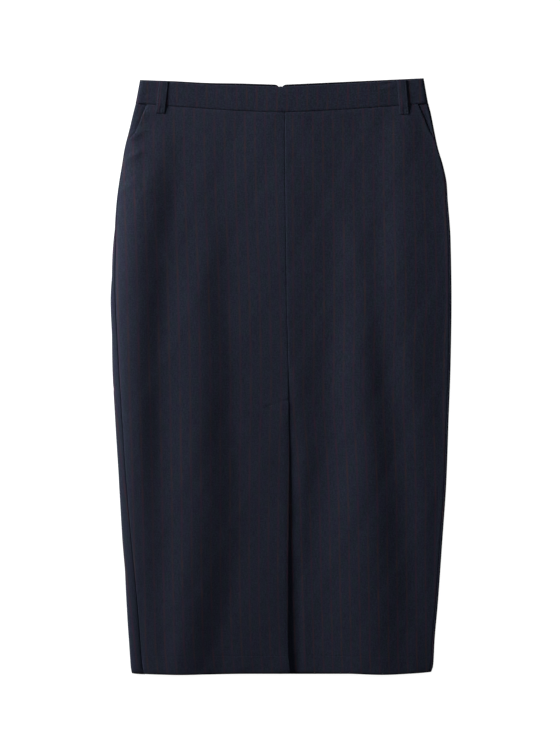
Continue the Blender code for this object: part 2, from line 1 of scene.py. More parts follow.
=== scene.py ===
"""Looks of the straight midi skirt: navy pinstripe wool, laid flat with its front up.

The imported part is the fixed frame. Every cut piece of cloth gets a fine shell on the form
of its CAD solid, with the seam grooves, creases, turned edges, stitches and weave that the
plain solid leaves out. Sizes are in millimetres, the wool's pattern too, and become metres
where a mesh is made or a cut declared. The studio, the height of each finish's relief, and
the patterns of the thread, tape, enamel and floor are given in metres.
+X is to the right of someone looking down at the skirt, +Y towards the waist, +Z up.
"""

import logging  # noqa: E402
import math  # noqa: E402
from collections import namedtuple  # noqa: E402
from collections.abc import Callable, Sequence  # noqa: E402
from dataclasses import dataclass, fields  # noqa: E402
from enum import Enum, IntEnum  # noqa: E402
from functools import lru_cache  # noqa: E402

import bpy  # noqa: E402
import numpy as np  # noqa: E402
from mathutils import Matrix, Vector  # noqa: E402

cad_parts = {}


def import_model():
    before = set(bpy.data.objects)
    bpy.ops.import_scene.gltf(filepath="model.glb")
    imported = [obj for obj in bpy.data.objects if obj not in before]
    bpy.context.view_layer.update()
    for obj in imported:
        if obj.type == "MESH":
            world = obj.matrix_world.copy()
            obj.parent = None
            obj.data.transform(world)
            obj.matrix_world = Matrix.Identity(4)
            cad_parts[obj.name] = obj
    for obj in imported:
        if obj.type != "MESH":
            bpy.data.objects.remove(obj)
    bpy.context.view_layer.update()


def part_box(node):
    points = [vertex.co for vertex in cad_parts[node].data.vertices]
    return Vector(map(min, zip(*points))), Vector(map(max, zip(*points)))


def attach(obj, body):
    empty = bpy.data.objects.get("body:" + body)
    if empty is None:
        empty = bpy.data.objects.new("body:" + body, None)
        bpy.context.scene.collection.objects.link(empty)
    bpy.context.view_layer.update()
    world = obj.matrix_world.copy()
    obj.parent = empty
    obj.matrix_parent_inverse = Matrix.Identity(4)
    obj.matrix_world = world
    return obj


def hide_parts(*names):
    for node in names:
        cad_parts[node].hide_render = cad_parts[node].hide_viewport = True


LOG = logging.getLogger("skirt")
MM = 0.001

Row = tuple[float, ...]
Pair = tuple[float, float]
Triple = tuple[float, float, float]
Colour = Triple
HeightLine = Callable[[np.ndarray], np.ndarray]

# Walls and layers as in the CAD, but with the seams drawn closed
CLOTH = 1.2
BAND_CLOTH = 1.5
SEAM = 0.3
HALF_SEAM = -0.02
BACK_MID = CLOTH / 2
SECOND_MID = CLOTH + SEAM + CLOTH / 2
BAND_LIFT = (BAND_CLOTH - CLOTH) / 2
SEWN_ROUNDING = 3.0
TURN_UP = 24.0
TURNED_BLEND = 2.0
FLAT_MARGIN = 0.01

# Waist seam, top edge and hem, all within a millimetre of the CAD's
WAIST_SIDE_Y = 355.2
WAIST_DIP = 11.8
WAIST_HALF_WIDTH = 189.0
WAIST_POWER = 1.4
BACK_RISE = 2.0
WAIST_FADE_Y = 230.0
TOP_MIDDLE_Y = 379.75
TOP_SLOPE_LEFT = 0.034
TOP_SLOPE_RIGHT = 0.046
TOP_SAG = 0.8
TOP_SAG_X = -95.0
TOP_SAG_HALF_WIDTH = 50.0
BACK_SHOWS = 3.1
BACK_SHOWS_AT_SIDE = 1.0
TOP_SIDE_Y = 386.0
HEM_Y = -387.3
HEM_LIFT = 1.0
HEM_FADE_Y = -300.0
HEM_CREST_DROP_LEFT = 1.4
HEM_CREST_DROP_RIGHT = 1.0
HEM_CREST_HALF_WIDTH_LEFT = 92.0
HEM_CREST_HALF_WIDTH_RIGHT = 45.0
HEM_CORNER_RISE_LEFT = 0.4
HEM_CORNER_RISE_RIGHT = 3.0
HEM_CORNER_POWER = 10
BACK_HEM_SHOWS = 1.3
HEM_HALF_WIDTH = 196.0
BACK_MIDDLE_X = -1.0
BAND_END_RADIUS = 6.0
BAND_END_GAP = 1.2
ROLL_POWER = 1.55
VENT_TOP_Y = -28.0

# The side seams. Left: how far the sewn line draws the cloth in. Right: the nick's depth and
# reach, and the height and reach of the soft lip that the seam lies on
SEWN_LINE_REACH = 0.8
RIGHT_NICK = (0.25, 1.0)
RIGHT_LIP = (0.4, 3.6)

# How much thinner the right pocket's mouth is pressed, and over how much height
PRESSED_MOUTH = 0.6
PRESSED_FADE = 14.0

# Stations beside an edge, close enough for its rounding
BORDER = np.array([0.0, 0.1, 0.3, 0.6, 1.1, 1.8])


class Side(IntEnum):
    """A side of the skirt, which is also the sign of its x."""

    LEFT = -1
    RIGHT = 1

    @property
    def word(self) -> str:
        """Return the side as it stands in names."""
        return self.name.lower()


class Slot(Enum):
    """The record's material slots."""

    WOOL = "wool"
    ZIP_TAPE = "zip_tape"
    ZIP_METAL = "zip_metal"


class Stations:
    """A short table along the skirt, read on a smooth curve through its rows."""

    def __init__(self, columns: str, *rows: Row) -> None:
        """Keep the table.

        Args:
            columns: Names of the columns after the first, which is the height.
            rows: The table's rows, from the lowest height up.
        """
        table = np.array(rows)
        self.record = namedtuple("Station", columns)
        self.y = table[:, 0]
        self.values = table[:, 1:]
        rise = np.diff(self.values, axis=0) / np.diff(self.y)[:, None]
        self.slopes = np.vstack((rise[:1], rise))
        lower, upper = rise[:-1], rise[1:]
        same_way = lower * upper > 0
        total = np.where(same_way, lower + upper, 1.0)
        self.slopes[1:-1] = np.where(same_way, 2 * lower * upper / total, 0.0)

    def at(self, y: float) -> tuple:
        """Read the table.

        Args:
            y: A height, held level past either end of the table.

        Returns:
            The named columns at that height.
        """
        y = min(max(y, self.y[0]), self.y[-1])
        low = min(int(np.searchsorted(self.y, y, side="right")) - 1, len(self.y) - 2)
        step = self.y[low + 1] - self.y[low]
        t = (y - self.y[low]) / step
        start = (1 + 2 * t) * (1 - t) ** 2 * self.values[low]
        end = t * t * (3 - 2 * t) * self.values[low + 1]
        leaving = t * (1 - t) ** 2 * step * self.slopes[low]
        arriving = -t * t * (1 - t) * step * self.slopes[low + 1]
        return self.record(*(start + end + leaving + arriving))

    def columns(self, rows: np.ndarray) -> np.ndarray:
        """Read the table at many heights.

        Args:
            rows: The heights.

        Returns:
            For each of the table's columns, its values in one upright column.
        """
        return np.array([self.at(y) for y in rows]).T[:, :, None]


# The outline: how far left and right the skirt reaches at each height
OUTLINE = Stations(
    "left right",
    (-387.0, -194.7, 195.0),
    (-380.0, -196.5, 197.4),
    (-343.0, -198.8, 199.4),
    (-291.0, -201.9, 203.8),
    (-213.0, -207.0, 209.4),
    (-135.0, -212.3, 214.7),
    (-57.0, -216.8, 217.5),
    (21.0, -220.3, 220.3),
    (99.0, -222.3, 221.4),
    (177.0, -218.8, 220.3),
    (229.0, -214.5, 216.8),
    (250.0, -211.9, 215.4),
    (273.0, -207.9, 210.7),
    (296.0, -204.1, 203.9),
    (320.0, -198.1, 198.9),
    (343.0, -192.7, 194.3),
    (355.0, -189.7, 191.2),
    (387.0, -183.6, 185.1),
)

# The side turns: how far in the roll reaches, the height it turns at, its top
LEFT_ROLL = Stations(
    "reach turn top",
    (-387.0, 15.3, 4.2, 8.0),
    (-291.0, 19.3, 3.4, 8.4),
    (-187.0, 24.3, 2.7, 9.5),
    (-83.0, 28.3, 2.2, 11.4),
    (21.0, 31.3, 2.1, 12.6),
    (125.0, 33.3, 2.1, 12.6),
    (229.0, 33.3, 2.1, 11.0),
    (262.0, 28.3, 2.1, 8.6),
    (296.0, 18.3, 2.1, 6.4),
    (325.0, 10.0, 2.1, 4.7),
    (355.0, 4.2, 2.1, 3.6),
)
RIGHT_ROLL = Stations(
    "reach turn top",
    (-387.0, 1.3, 7.4, 10.4),
    (-291.0, 1.3, 7.0, 9.8),
    (-187.0, 1.3, 6.8, 9.6),
    (-83.0, 1.3, 6.6, 9.4),
    (21.0, 1.3, 6.2, 9.0),
    (125.0, 1.3, 5.8, 8.6),
    (229.0, 1.3, 4.2, 6.8),
    (262.0, 1.3, 3.4, 5.6),
    (296.0, 1.4, 2.7, 4.6),
    (325.0, 2.2, 2.3, 4.0),
    (355.0, 3.5, 2.1, 3.6),
)

# Crests and troughs of the front, from the left side to the right
LEFT_SHOULDER = Stations(
    "x z",
    (-387.0, -179.0, 8.6),
    (-291.0, -176.0, 8.8),
    (-187.0, -181.0, 9.8),
    (-83.0, -187.0, 11.7),
    (21.0, -190.0, 12.8),
    (125.0, -189.0, 12.7),
    (229.0, -179.0, 10.8),
    (296.0, -166.0, 6.9),
    (325.0, -160.0, 4.9),
    (355.0, -178.0, 3.6),
)
LEFT_TROUGH = Stations(
    "x z",
    (-387.0, -158.0, 9.4),
    (-291.0, -160.0, 8.8),
    (-187.0, -157.0, 8.7),
    (-83.0, -154.0, 8.6),
    (21.0, -152.0, 8.6),
    (125.0, -142.0, 7.6),
    (229.0, -131.0, 5.8),
    (296.0, -126.0, 4.5),
    (355.0, -130.0, 3.6),
)
LEFT_RIDGE = Stations(
    "x z",
    (-387.0, -133.0, 11.2),
    (-291.0, -123.0, 12.0),
    (-187.0, -114.0, 11.8),
    (-83.0, -111.0, 11.2),
    (21.0, -111.0, 10.4),
    (125.0, -109.0, 8.1),
    (229.0, -108.0, 5.5),
    (296.0, -108.0, 4.4),
    (355.0, -110.0, 3.6),
)
INNER_LEFT_TROUGH = Stations(
    "x z",
    (-387.0, -72.0, 6.5),
    (-291.0, -60.0, 5.9),
    (-187.0, -47.0, 5.1),
    (-83.0, -54.0, 4.9),
    (21.0, -58.0, 4.8),
    (125.0, -62.0, 4.0),
    (229.0, -66.0, 3.9),
    (355.0, -75.0, 3.6),
)
CENTRE_FRONT = Stations(
    "x z",
    (-387.0, 11.4, 6.2),
    (-343.0, 8.9, 6.2),
    (-250.0, 9.2, 5.8),
    (-187.0, 9.9, 5.4),
    (-100.0, 10.6, 5.2),
    (-28.0, 9.6, 4.9),
    (34.0, 8.8, 4.6),
    (99.0, 7.1, 4.6),
    (164.0, 6.2, 4.5),
    (229.0, 5.3, 4.4),
    (281.0, 4.9, 4.3),
    (355.0, 4.5, 4.2),
)
INNER_RIGHT_TROUGH = Stations(
    "x z",
    (-387.0, 27.0, 3.5),
    (-291.0, 27.0, 3.5),
    (-187.0, 36.0, 3.6),
    (-83.0, 55.0, 3.6),
    (21.0, 56.0, 3.8),
    (125.0, 60.0, 3.9),
    (229.0, 66.0, 3.8),
    (355.0, 70.0, 3.6),
)
RIGHT_RIDGE = Stations(
    "x z",
    (-387.0, 132.0, 12.6),
    (-291.0, 123.0, 12.2),
    (-187.0, 120.0, 11.7),
    (-83.0, 113.0, 10.0),
    (21.0, 110.0, 9.0),
    (125.0, 108.0, 7.1),
    (229.0, 100.0, 4.5),
    (296.0, 96.0, 3.9),
    (355.0, 92.0, 3.6),
)
RIGHT_TROUGH = Stations(
    "x z",
    (-387.0, 168.0, 11.7),
    (-291.0, 170.0, 9.7),
    (-187.0, 162.0, 8.7),
    (-83.0, 147.0, 7.6),
    (21.0, 134.0, 7.7),
    (125.0, 121.0, 6.9),
    (229.0, 119.0, 4.9),
    (296.0, 122.0, 4.3),
    (355.0, 128.0, 3.6),
)
RIGHT_SHOULDER = Stations(
    "x z",
    (-387.0, 186.0, 10.8),
    (-291.0, 190.0, 10.1),
    (-187.0, 190.0, 9.8),
    (-83.0, 184.0, 9.8),
    (21.0, 172.0, 10.1),
    (125.0, 163.0, 9.5),
    (229.0, 160.0, 7.4),
    (296.0, 163.0, 6.1),
    (325.0, 157.0, 5.0),
    (355.0, 176.0, 3.6),
)
CREASE_LINES = (
    LEFT_SHOULDER,
    LEFT_TROUGH,
    LEFT_RIDGE,
    INNER_LEFT_TROUGH,
    CENTRE_FRONT,
    INNER_RIGHT_TROUGH,
    RIGHT_RIDGE,
    RIGHT_TROUGH,
    RIGHT_SHOULDER,
)

# Side seams: how far in from the outline the back comes round on to the front
LEFT_SEAM = Stations(
    "inset",
    (-387.0, 15.6),
    (-291.0, 13.9),
    (-239.0, 12.3),
    (-161.0, 10.4),
    (-31.0, 9.1),
    (34.0, 7.8),
    (88.0, 6.3),
    (160.0, 3.5),
    (229.0, 1.3),
    (296.0, 0.8),
    (387.0, 0.8),
)
RIGHT_SEAM = Stations(
    "inset",
    (-387.0, 2.5),
    (200.0, 2.5),
    (250.0, 1.6),
    (296.0, 0.8),
    (387.0, 0.8),
)

# Slanted pocket edges: how far in from the outline each front is cut away
LEFT_POCKET = Stations(
    "inset",
    (300.0, 0.8),
    (308.0, 3.2),
    (315.0, 7.6),
    (319.0, 8.7),
    (345.0, 12.7),
    (355.0, 14.1),
)
RIGHT_POCKET = Stations(
    "inset",
    (305.0, 0.8),
    (313.0, 3.0),
    (321.0, 6.2),
    (325.0, 6.8),
    (345.0, 10.6),
    (355.0, 12.4),
)
FACING_EDGE = Stations(
    "inset",
    (242.0, 9.0),
    (292.0, 9.0),
    (304.0, 0.9),
    (355.0, 0.9),
)
SIDE_SEAMS = {Side.LEFT: LEFT_SEAM, Side.RIGHT: RIGHT_SEAM}
POCKETS = {Side.LEFT: LEFT_POCKET, Side.RIGHT: RIGHT_POCKET}

# The right front beside the vent: the height of its edge, and how far the dip reaches
VENT_DIP = Stations(
    "edge reach",
    (-387.0, 2.6, 19.0),
    (-343.0, 2.6, 25.0),
    (-291.0, 2.9, 22.0),
    (-240.0, 2.8, 22.0),
    (-187.0, 2.9, 24.0),
    (-135.0, 3.2, 24.0),
    (-83.0, 3.7, 24.0),
    (-28.0, 4.2, 16.0),
    (14.0, 4.5, 5.0),
)

# How deep the left side seam lies: in a narrow nick, in a wide dip of the cloth and
# along the sewn line itself
LEFT_DIP = Stations(
    "nick dip line",
    (-387.0, 0.0, 1.6, 0.3),
    (-317.0, 0.0, 1.5, 0.3),
    (-265.0, 0.0, 1.1, 0.3),
    (-213.0, 0.1, 0.7, 0.3),
    (-161.0, 0.25, 0.5, 0.3),
    (-109.0, 0.4, 0.3, 0.3),
    (-57.0, 0.65, 0.15, 0.3),
    (-5.0, 0.8, 0.0, 0.3),
    (99.0, 1.1, 0.0, 0.3),
    (151.0, 1.2, 0.0, 0.3),
    (200.0, 0.6, 0.0, 0.3),
    (235.0, 0.15, 0.0, 0.1),
    (387.0, 0.1, 0.0, 0.1),
)

# The stripes on the fronts: how far from centre front the nearest one runs on each side,
# and how much closer together they lie where the folds take up cloth
STRIPES = Stations(
    "left left_squeeze right right_squeeze",
    (-387.0, 10.7, 0.938, 20.2, 0.920),
    (-343.0, 11.3, 0.943, 21.0, 0.924),
    (-291.0, 13.3, 0.937, 19.2, 0.933),
    (-226.0, 13.8, 0.947, 17.1, 0.939),
    (-161.0, 13.8, 0.956, 14.2, 0.955),
    (-96.0, 13.1, 0.972, 10.3, 0.967),
    (-31.0, 10.0, 0.994, 6.1, 0.986),
    (34.0, 9.1, 1.003, 7.4, 0.989),
    (99.0, 8.8, 1.003, 8.7, 1.007),
    (164.0, 10.1, 1.0, 9.2, 1.005),
    (229.0, 11.4, 1.0, 9.7, 0.996),
    (294.0, 12.5, 1.0, 10.3, 0.992),
)


def ease(t: np.ndarray) -> np.ndarray:
    """Return 0 below 0 and 1 above 1, with a smooth rise between."""
    return (1 - np.cos(np.pi * np.clip(t, 0.0, 1.0))) / 2


def nearness(away: np.ndarray, reach: float) -> np.ndarray:
    """Return 1 at an edge and 0 from a reach away on, with a smooth fall between."""
    return 1 - ease(away / reach)


def before(place: np.ndarray, edge: float, width: float) -> np.ndarray:
    """Return 1 before an edge and 0 past it, falling over a width centred on it."""
    return 1 - ease((place - edge) / width + 0.5)


def waist_y(x: np.ndarray) -> np.ndarray:
    """Return the front waist seam's height at x."""
    return WAIST_SIDE_Y - WAIST_DIP * (1 - (np.abs(x) / WAIST_HALF_WIDTH) ** WAIST_POWER)


def back_waist_y(x: np.ndarray) -> np.ndarray:
    """Return the back waist seam's height at x, a little above the front's."""
    return waist_y(x) + BACK_RISE * (1 - (x / WAIST_HALF_WIDTH) ** 2)


def back_top_y(x: np.ndarray) -> np.ndarray:
    """Return the height of the back waistband's top edge, before its ends are rounded."""
    straight = TOP_MIDDLE_Y + np.where(x < 0, TOP_SLOPE_LEFT, TOP_SLOPE_RIGHT) * np.abs(x)
    return straight - TOP_SAG * nearness(np.abs(x - TOP_SAG_X), TOP_SAG_HALF_WIDTH)


def front_top_y(x: np.ndarray) -> np.ndarray:
    """Return the height of the front waistband's top edge, which lets the back show."""
    at_side = (x / WAIST_HALF_WIDTH) ** 2
    return back_top_y(x) - BACK_SHOWS + (BACK_SHOWS - BACK_SHOWS_AT_SIDE) * at_side


def rounded_top_y(x: np.ndarray) -> np.ndarray:
    """Round the ends of the back waistband's top edge at the zip.

    Args:
        x: Places across the skirt.

    Returns:
        The top edge's heights.
    """
    past_end = BAND_END_RADIUS - (np.abs(x - BACK_MIDDLE_X) - BAND_END_GAP)
    past_end = np.clip(past_end, 0.0, BAND_END_RADIUS)
    return back_top_y(x) - BAND_END_RADIUS + np.sqrt(BAND_END_RADIUS**2 - past_end**2)


def hem_corner(x: np.ndarray) -> np.ndarray:
    """Return how far the hem rises towards its corners, more at the right one."""
    rise = np.where(x < 0, HEM_CORNER_RISE_LEFT, HEM_CORNER_RISE_RIGHT)
    return rise * (np.abs(x) / HEM_HALF_WIDTH) ** HEM_CORNER_POWER


def hem_y(x: np.ndarray) -> np.ndarray:
    """Work out the front hem: lower over the two ridges, higher at its corners.

    Args:
        x: Places across the skirt.

    Returns:
        The hem's heights.
    """
    drop = np.zeros_like(x)
    for ridge, deepest, half_width in (
        (LEFT_RIDGE, HEM_CREST_DROP_LEFT, HEM_CREST_HALF_WIDTH_LEFT),
        (RIGHT_RIDGE, HEM_CREST_DROP_RIGHT, HEM_CREST_HALF_WIDTH_RIGHT),
    ):
        drop += deepest * nearness(np.abs(x - ridge.at(HEM_Y).x), half_width)
    return HEM_Y + HEM_LIFT - drop + hem_corner(x)


def back_hem_y(x: np.ndarray) -> np.ndarray:
    """Return the back hem's height at x, just below the front's between the sides."""
    return hem_y(x) - BACK_HEM_SHOWS * (1 - (x / HEM_HALF_WIDTH) ** 4)


def pocket_thinning(side: Side, rows: np.ndarray) -> np.ndarray:
    """Work out how much thinner a front's edge is pressed: only the right one, at its pocket.

    Args:
        side: Which front.
        rows: Its levels.

    Returns:
        The share of the edge's rounding that is pressed away, in each row.
    """
    if side < 0:
        return np.zeros_like(rows)
    return PRESSED_MOUTH * ease((rows - RIGHT_POCKET.y[0]) / PRESSED_FADE)


class Section:
    """The laid skirt cut across at one level."""

    SAMPLES = 900

    def __init__(self, level: float) -> None:
        """Work out the section's sides and its crests and troughs at a level.

        Args:
            level: Where the skirt is cut across.
        """
        self.level = level
        outline = OUTLINE.at(level)
        self.edges = {
            Side.LEFT: outline.left + BACK_MID,
            Side.RIGHT: outline.right - BACK_MID,
        }
        self.rolls = {Side.LEFT: LEFT_ROLL.at(level), Side.RIGHT: RIGHT_ROLL.at(level)}
        knots = [line.at(level) for line in CREASE_LINES]
        left, right = self.rolls[Side.LEFT], self.rolls[Side.RIGHT]
        left_x = min(self.edges[Side.LEFT] + left.reach, knots[0].x - SEAM)
        right_x = max(self.edges[Side.RIGHT] - right.reach, knots[-1].x + SEAM)
        knots = [(left_x, left.top), *knots, (right_x, right.top)]
        self.knot_x, self.knot_z = np.array(knots).T

    def front_z(self, x: np.ndarray) -> np.ndarray:
        """Follow the front's middle surface between the side rolls.

        Args:
            x: Places across the skirt.

        Returns:
            Its heights.
        """
        low = np.searchsorted(self.knot_x, x, side="right") - 1
        low = np.clip(low, 0, len(self.knot_x) - 2)
        across = (x - self.knot_x[low]) / (self.knot_x[low + 1] - self.knot_x[low])
        rise = self.knot_z[low + 1] - self.knot_z[low]
        return self.knot_z[low] + rise * ease(across)

    def turn(self, side: Side, s: np.ndarray) -> tuple[np.ndarray, np.ndarray]:
        """Follow the cloth from where it turns at a side.

        Args:
            side: Which side.
            s: Lengths over the front, or negative ones under and along the back.

        Returns:
            The points' x and z.
        """
        roll = self.rolls[side]
        over = s >= 0
        rise = np.where(over, roll.top - roll.turn, roll.turn - BACK_MID)
        reach = np.where(over, roll.reach, rise)
        radius = (reach + rise) / 2
        angle = np.minimum(np.abs(s) / radius, math.pi / 2)
        past = np.maximum(0.0, np.abs(s) - radius * math.pi / 2)
        x = self.edges[side] - side * (reach * (1 - np.cos(angle)) + past)
        over_curve = rise * np.sin(angle) ** ROLL_POWER
        curve = roll.turn + np.where(over, over_curve, -rise * np.sin(angle))
        on_top = over & (angle >= math.pi / 2)
        return x, np.where(on_top, self.front_z(x), curve)

    def length_to(self, side: Side, inset: float) -> float:
        """Measure along the front from a side's turn.

        Args:
            side: Which side.
            inset: How far in from the outline the length ends.

        Returns:
            The length along the cloth.
        """
        roll = self.rolls[side]
        radius = (roll.reach + roll.top - roll.turn) / 2
        if inset < roll.reach:
            return radius * math.acos(1 - inset / roll.reach)
        return radius * math.pi / 2 + inset - roll.reach

    def length_to_seam(self, side: Side) -> float:
        """Return the length along the front from a side's turn to its side seam."""
        return self.length_to(side, SIDE_SEAMS[side].at(self.level).inset)

    def walk(self, side: Side, span: Pair, count: int) -> "Walk":
        """Lay evenly spaced columns along a stretch of the section.

        Args:
            side: The side the lengths are taken from.
            span: First and last length from that side's turn.
            count: How many even steps fill the stretch between its two borders.

        Returns:
            The columns' places and their true lengths along the cloth.
        """
        s = np.linspace(*span, self.SAMPLES)
        x, z = self.turn(side, s)
        true = np.concatenate(([0.0], np.cumsum(np.hypot(np.diff(x), np.diff(z)))))
        along = bordered(true[-1], count)
        x, z = self.turn(side, np.interp(along, true, s))
        return Walk(x, z, along, true[-1])

    def back_walk(self, side: Side, gap: float, count: int) -> "Walk":
        """Lay columns along the back, round a side and up to its seam on the front.

        Args:
            side: Which side.
            gap: How far from the centre back the first column lies.
            count: How many even steps fill the stretch between its two borders.

        Returns:
            The columns' places and their true lengths along the cloth.
        """
        quarter = (self.rolls[side].turn - BACK_MID) * math.pi / 2
        start_x = BACK_MIDDLE_X + side * gap
        flat = abs(self.edges[side] - start_x) - quarter * 2 / math.pi
        end = self.length_to_seam(side) - HALF_SEAM
        return self.walk(side, (-quarter - flat, end), count)


@dataclass(frozen=True)
class Walk:
    """Columns along one stretch of a section, or rows of them, with lengths from its start."""

    x: np.ndarray
    z: np.ndarray
    along: np.ndarray
    total: float | np.ndarray

    @property
    def to_end(self) -> np.ndarray:
        """Return each column's length to the walk's end."""
        return self.total - self.along

    @staticmethod
    def stacked(walks: Sequence["Walk"]) -> "Walk":
        """Stack walks at growing levels.

        Args:
            walks: The walks, from the lowest up.

        Returns:
            One walk whose arrays have a row for each of them.
        """
        x = np.array([walk.x for walk in walks])
        z = np.array([walk.z for walk in walks])
        along = np.array([walk.along for walk in walks])
        return Walk(x, z, along, np.array([[walk.total] for walk in walks]))

    def joined(self, right: "Walk") -> "Walk":
        """Make one walk out of this one and another that comes to meet its end.

        Args:
            right: The walk from the other side.

        Returns:
            The whole walk, from this one's start to the other's.
        """
        keep = len(BORDER)
        x = np.concatenate((self.x[:-keep], right.x[: -keep + 1][::-1]))
        z = np.concatenate((self.z[:-keep], right.z[: -keep + 1][::-1]))
        total = self.total + right.total
        right_along = total - right.along[: -keep + 1][::-1]
        return Walk(x, z, np.concatenate((self.along[:-keep], right_along)), total)


def bordered(length: float, count: int) -> np.ndarray:
    """Space stations along a length, with close ones by both ends for a rounded edge."""
    middle = np.linspace(BORDER[-1], length - BORDER[-1], count + 1)
    return np.concatenate((BORDER[:-1], middle, length - BORDER[-2::-1]))


def levels(*stops: float, step: float) -> np.ndarray:
    """Space levels between stops, with close ones on both sides of every stop.

    Args:
        stops: The levels that must be there, from the lowest up.
        step: About how far apart the others are.

    Returns:
        The levels, from the lowest up.
    """
    stretches = []
    for low, high in zip(stops, stops[1:]):
        count = max(2, round((high - low) / step))
        stretches.append(low + bordered(high - low, count))
    return np.unique(np.concatenate(stretches))


@lru_cache(maxsize=None)
def section_at(level: float) -> Section:
    """Return the section at a level, worked out once."""
    return Section(level)


@dataclass(frozen=True)
class Crease:
    """A soft ridge, or a trough where its height is negative, along a bent line."""

    path: tuple[Pair, ...]
    half_width: float
    height: float
    sharp_start: bool = False

    FADE_POWER = 1.2

    def lift(self, x: np.ndarray, y: np.ndarray) -> np.ndarray:
        """Work out how far the crease lifts the cloth.

        Args:
            x: The points' x.
            y: The points' y.

        Returns:
            The lift at each point.
        """
        points = np.array(self.path)
        lengths = np.hypot(*np.diff(points, axis=0).T)
        done = np.concatenate(([0.0], np.cumsum(lengths)))
        nearest = np.full(x.shape, np.inf)
        along = np.zeros(x.shape)
        for (x0, y0), (x1, y1), start, length in zip(points, points[1:], done, lengths):
            t = ((x - x0) * (x1 - x0) + (y - y0) * (y1 - y0)) / length**2
            t = np.clip(t, 0.0, 1.0)
            away = np.hypot(x - x0 - t * (x1 - x0), y - y0 - t * (y1 - y0))
            closer = away < nearest
            nearest = np.where(closer, away, nearest)
            along = np.where(closer, (start + t * length) / done[-1], along)
        fade = np.cos(np.pi / 2 * along) if self.sharp_start else np.sin(np.pi * along)
        return self.height * fade**self.FADE_POWER * np.exp(-((nearest / self.half_width) ** 2))


def creased(creases: Sequence[Crease], x: np.ndarray, y: np.ndarray) -> np.ndarray:
    """Return how far several creases together lift the cloth."""
    return sum(crease.lift(x, y) for crease in creases)


def groove(away: np.ndarray, depth: float | np.ndarray, reach: float) -> np.ndarray:
    """Return how far cloth sinks towards a seam that lies some way away."""
    return -depth * np.exp(-((away / reach) ** 2))


def settle(away: np.ndarray, depth: float | np.ndarray, reach: float) -> np.ndarray:
    """Return how far cloth sinks towards a line, steepest beside it."""
    return -depth * np.exp(-away / reach)


def side_seam(side: Side, rows: np.ndarray, away: np.ndarray, reaches: Pair) -> np.ndarray:
    """Work out how a panel sinks towards its side seam.

    Args:
        side: Which side seam.
        rows: The panel's levels.
        away: Its points' distances from the seam, in its rows.
        reaches: How far the left seam's nick and its dip reach into the panel.

    Returns:
        The lift; at the right the seam lies on the slope of a soft lip.
    """
    if side > 0:
        return groove(away, *RIGHT_NICK) - groove(away, *RIGHT_LIP)
    nick, dip, line = LEFT_DIP.columns(rows)
    lift = settle(away, nick, reaches[0]) + settle(away, dip, reaches[1])
    return lift + groove(away, line, SEWN_LINE_REACH)


def puff(away: np.ndarray, height: float, near: float, far: float) -> np.ndarray:
    """Return how far cloth stands proud beside a seam, rising near it and fading far off."""
    return height * (1 - np.exp(-((away / near) ** 2))) * np.exp(-away / far)


@dataclass(frozen=True)
class Drift:
    """The faint, slow unevenness of cloth that has been worn in and pressed."""

    height: float
    seed: float

    # Each wave's share, its periods across and up, and its phase
    WAVES = (
        (1.0, 83.0, 197.0, 0.3),
        (0.8, -61.0, 148.0, 1.9),
        (0.7, 47.0, -110.0, 4.1),
        (0.45, -31.0, 67.0, 2.6),
        (0.3, 22.0, 43.0, 5.2),
    )
    UP_SEED = 2.3
    UP_PHASE = 1.7

    def lift(self, x: np.ndarray, y: np.ndarray) -> np.ndarray:
        """Work out how far the unevenness lifts the cloth.

        Args:
            x: The points' x.
            y: The points' y.

        Returns:
            The lift at each point.
        """
        total = np.zeros(x.shape)
        for share, across, up, phase in self.WAVES:
            wave = np.sin(x * 2 * math.pi / across + self.seed + phase)
            up_phase = self.UP_SEED * self.seed + self.UP_PHASE * phase
            total += share * wave * np.sin(y * 2 * math.pi / up + up_phase)
        return self.height * total


@dataclass
class Patch:
    """One grid of a piece's middle surface, with what is known at each of its points.

    Each point has its distance inside the piece's edge, its place in the cut with a painted shade
    for where shadow falls, how far it is lifted, and how much of a turned-in layer lies below it.
    """

    points: np.ndarray
    inside: np.ndarray
    cut: np.ndarray
    lift: np.ndarray
    turned: np.ndarray

    @classmethod
    def plain(cls, points: np.ndarray, inside: np.ndarray) -> "Patch":
        """Return a grid with no lift, no turned-in layer and no place in the cut yet."""
        return cls(points, inside, np.zeros_like(points), *np.zeros((2, *inside.shape)))

    @property
    def x(self) -> np.ndarray:
        """Return the points' x."""
        return self.points[..., 0]

    @property
    def y(self) -> np.ndarray:
        """Return the points' y."""
        return self.points[..., 1]

    @property
    def z(self) -> np.ndarray:
        """Return the points' z."""
        return self.points[..., 2]

    def mark(self, across: np.ndarray, along: np.ndarray, painted_shade: np.ndarray | float = 0.0) -> None:
        """Write down each point's place across and along the grain of the cut, and its painted
        shade.
        """
        for column, values in enumerate((across, along, painted_shade)):
            self.cut[..., column] = values

    def arrays(self) -> tuple[np.ndarray, ...]:
        """Return the patch's arrays in the order of its fields."""
        return tuple(getattr(self, field.name) for field in fields(self))

    def mapped(self, change: Callable[[np.ndarray], np.ndarray]) -> "Patch":
        """Return the patch with each of its arrays changed in the same way."""
        return Patch(*(change(values) for values in self.arrays()))

    def mirrored(self) -> "Patch":
        """Return the grid with its columns the other way round, which turns it over."""
        return self.mapped(lambda values: values[:, ::-1])


def grid_patch(walks: Walk, heights: HeightLine, ends: np.ndarray) -> Patch:
    """Make a grid of stacked walks.

    Args:
        walks: The walks.
        heights: A function from the points' x, in rows, to their y.
        ends: Each row's distance from the piece's lower or upper edge.

    Returns:
        The grid.
    """
    points = np.stack((walks.x, heights(walks.x), walks.z), axis=-1)
    sides = np.minimum(walks.along, walks.to_end)
    return Patch.plain(points, np.minimum(sides, ends[:, None]))


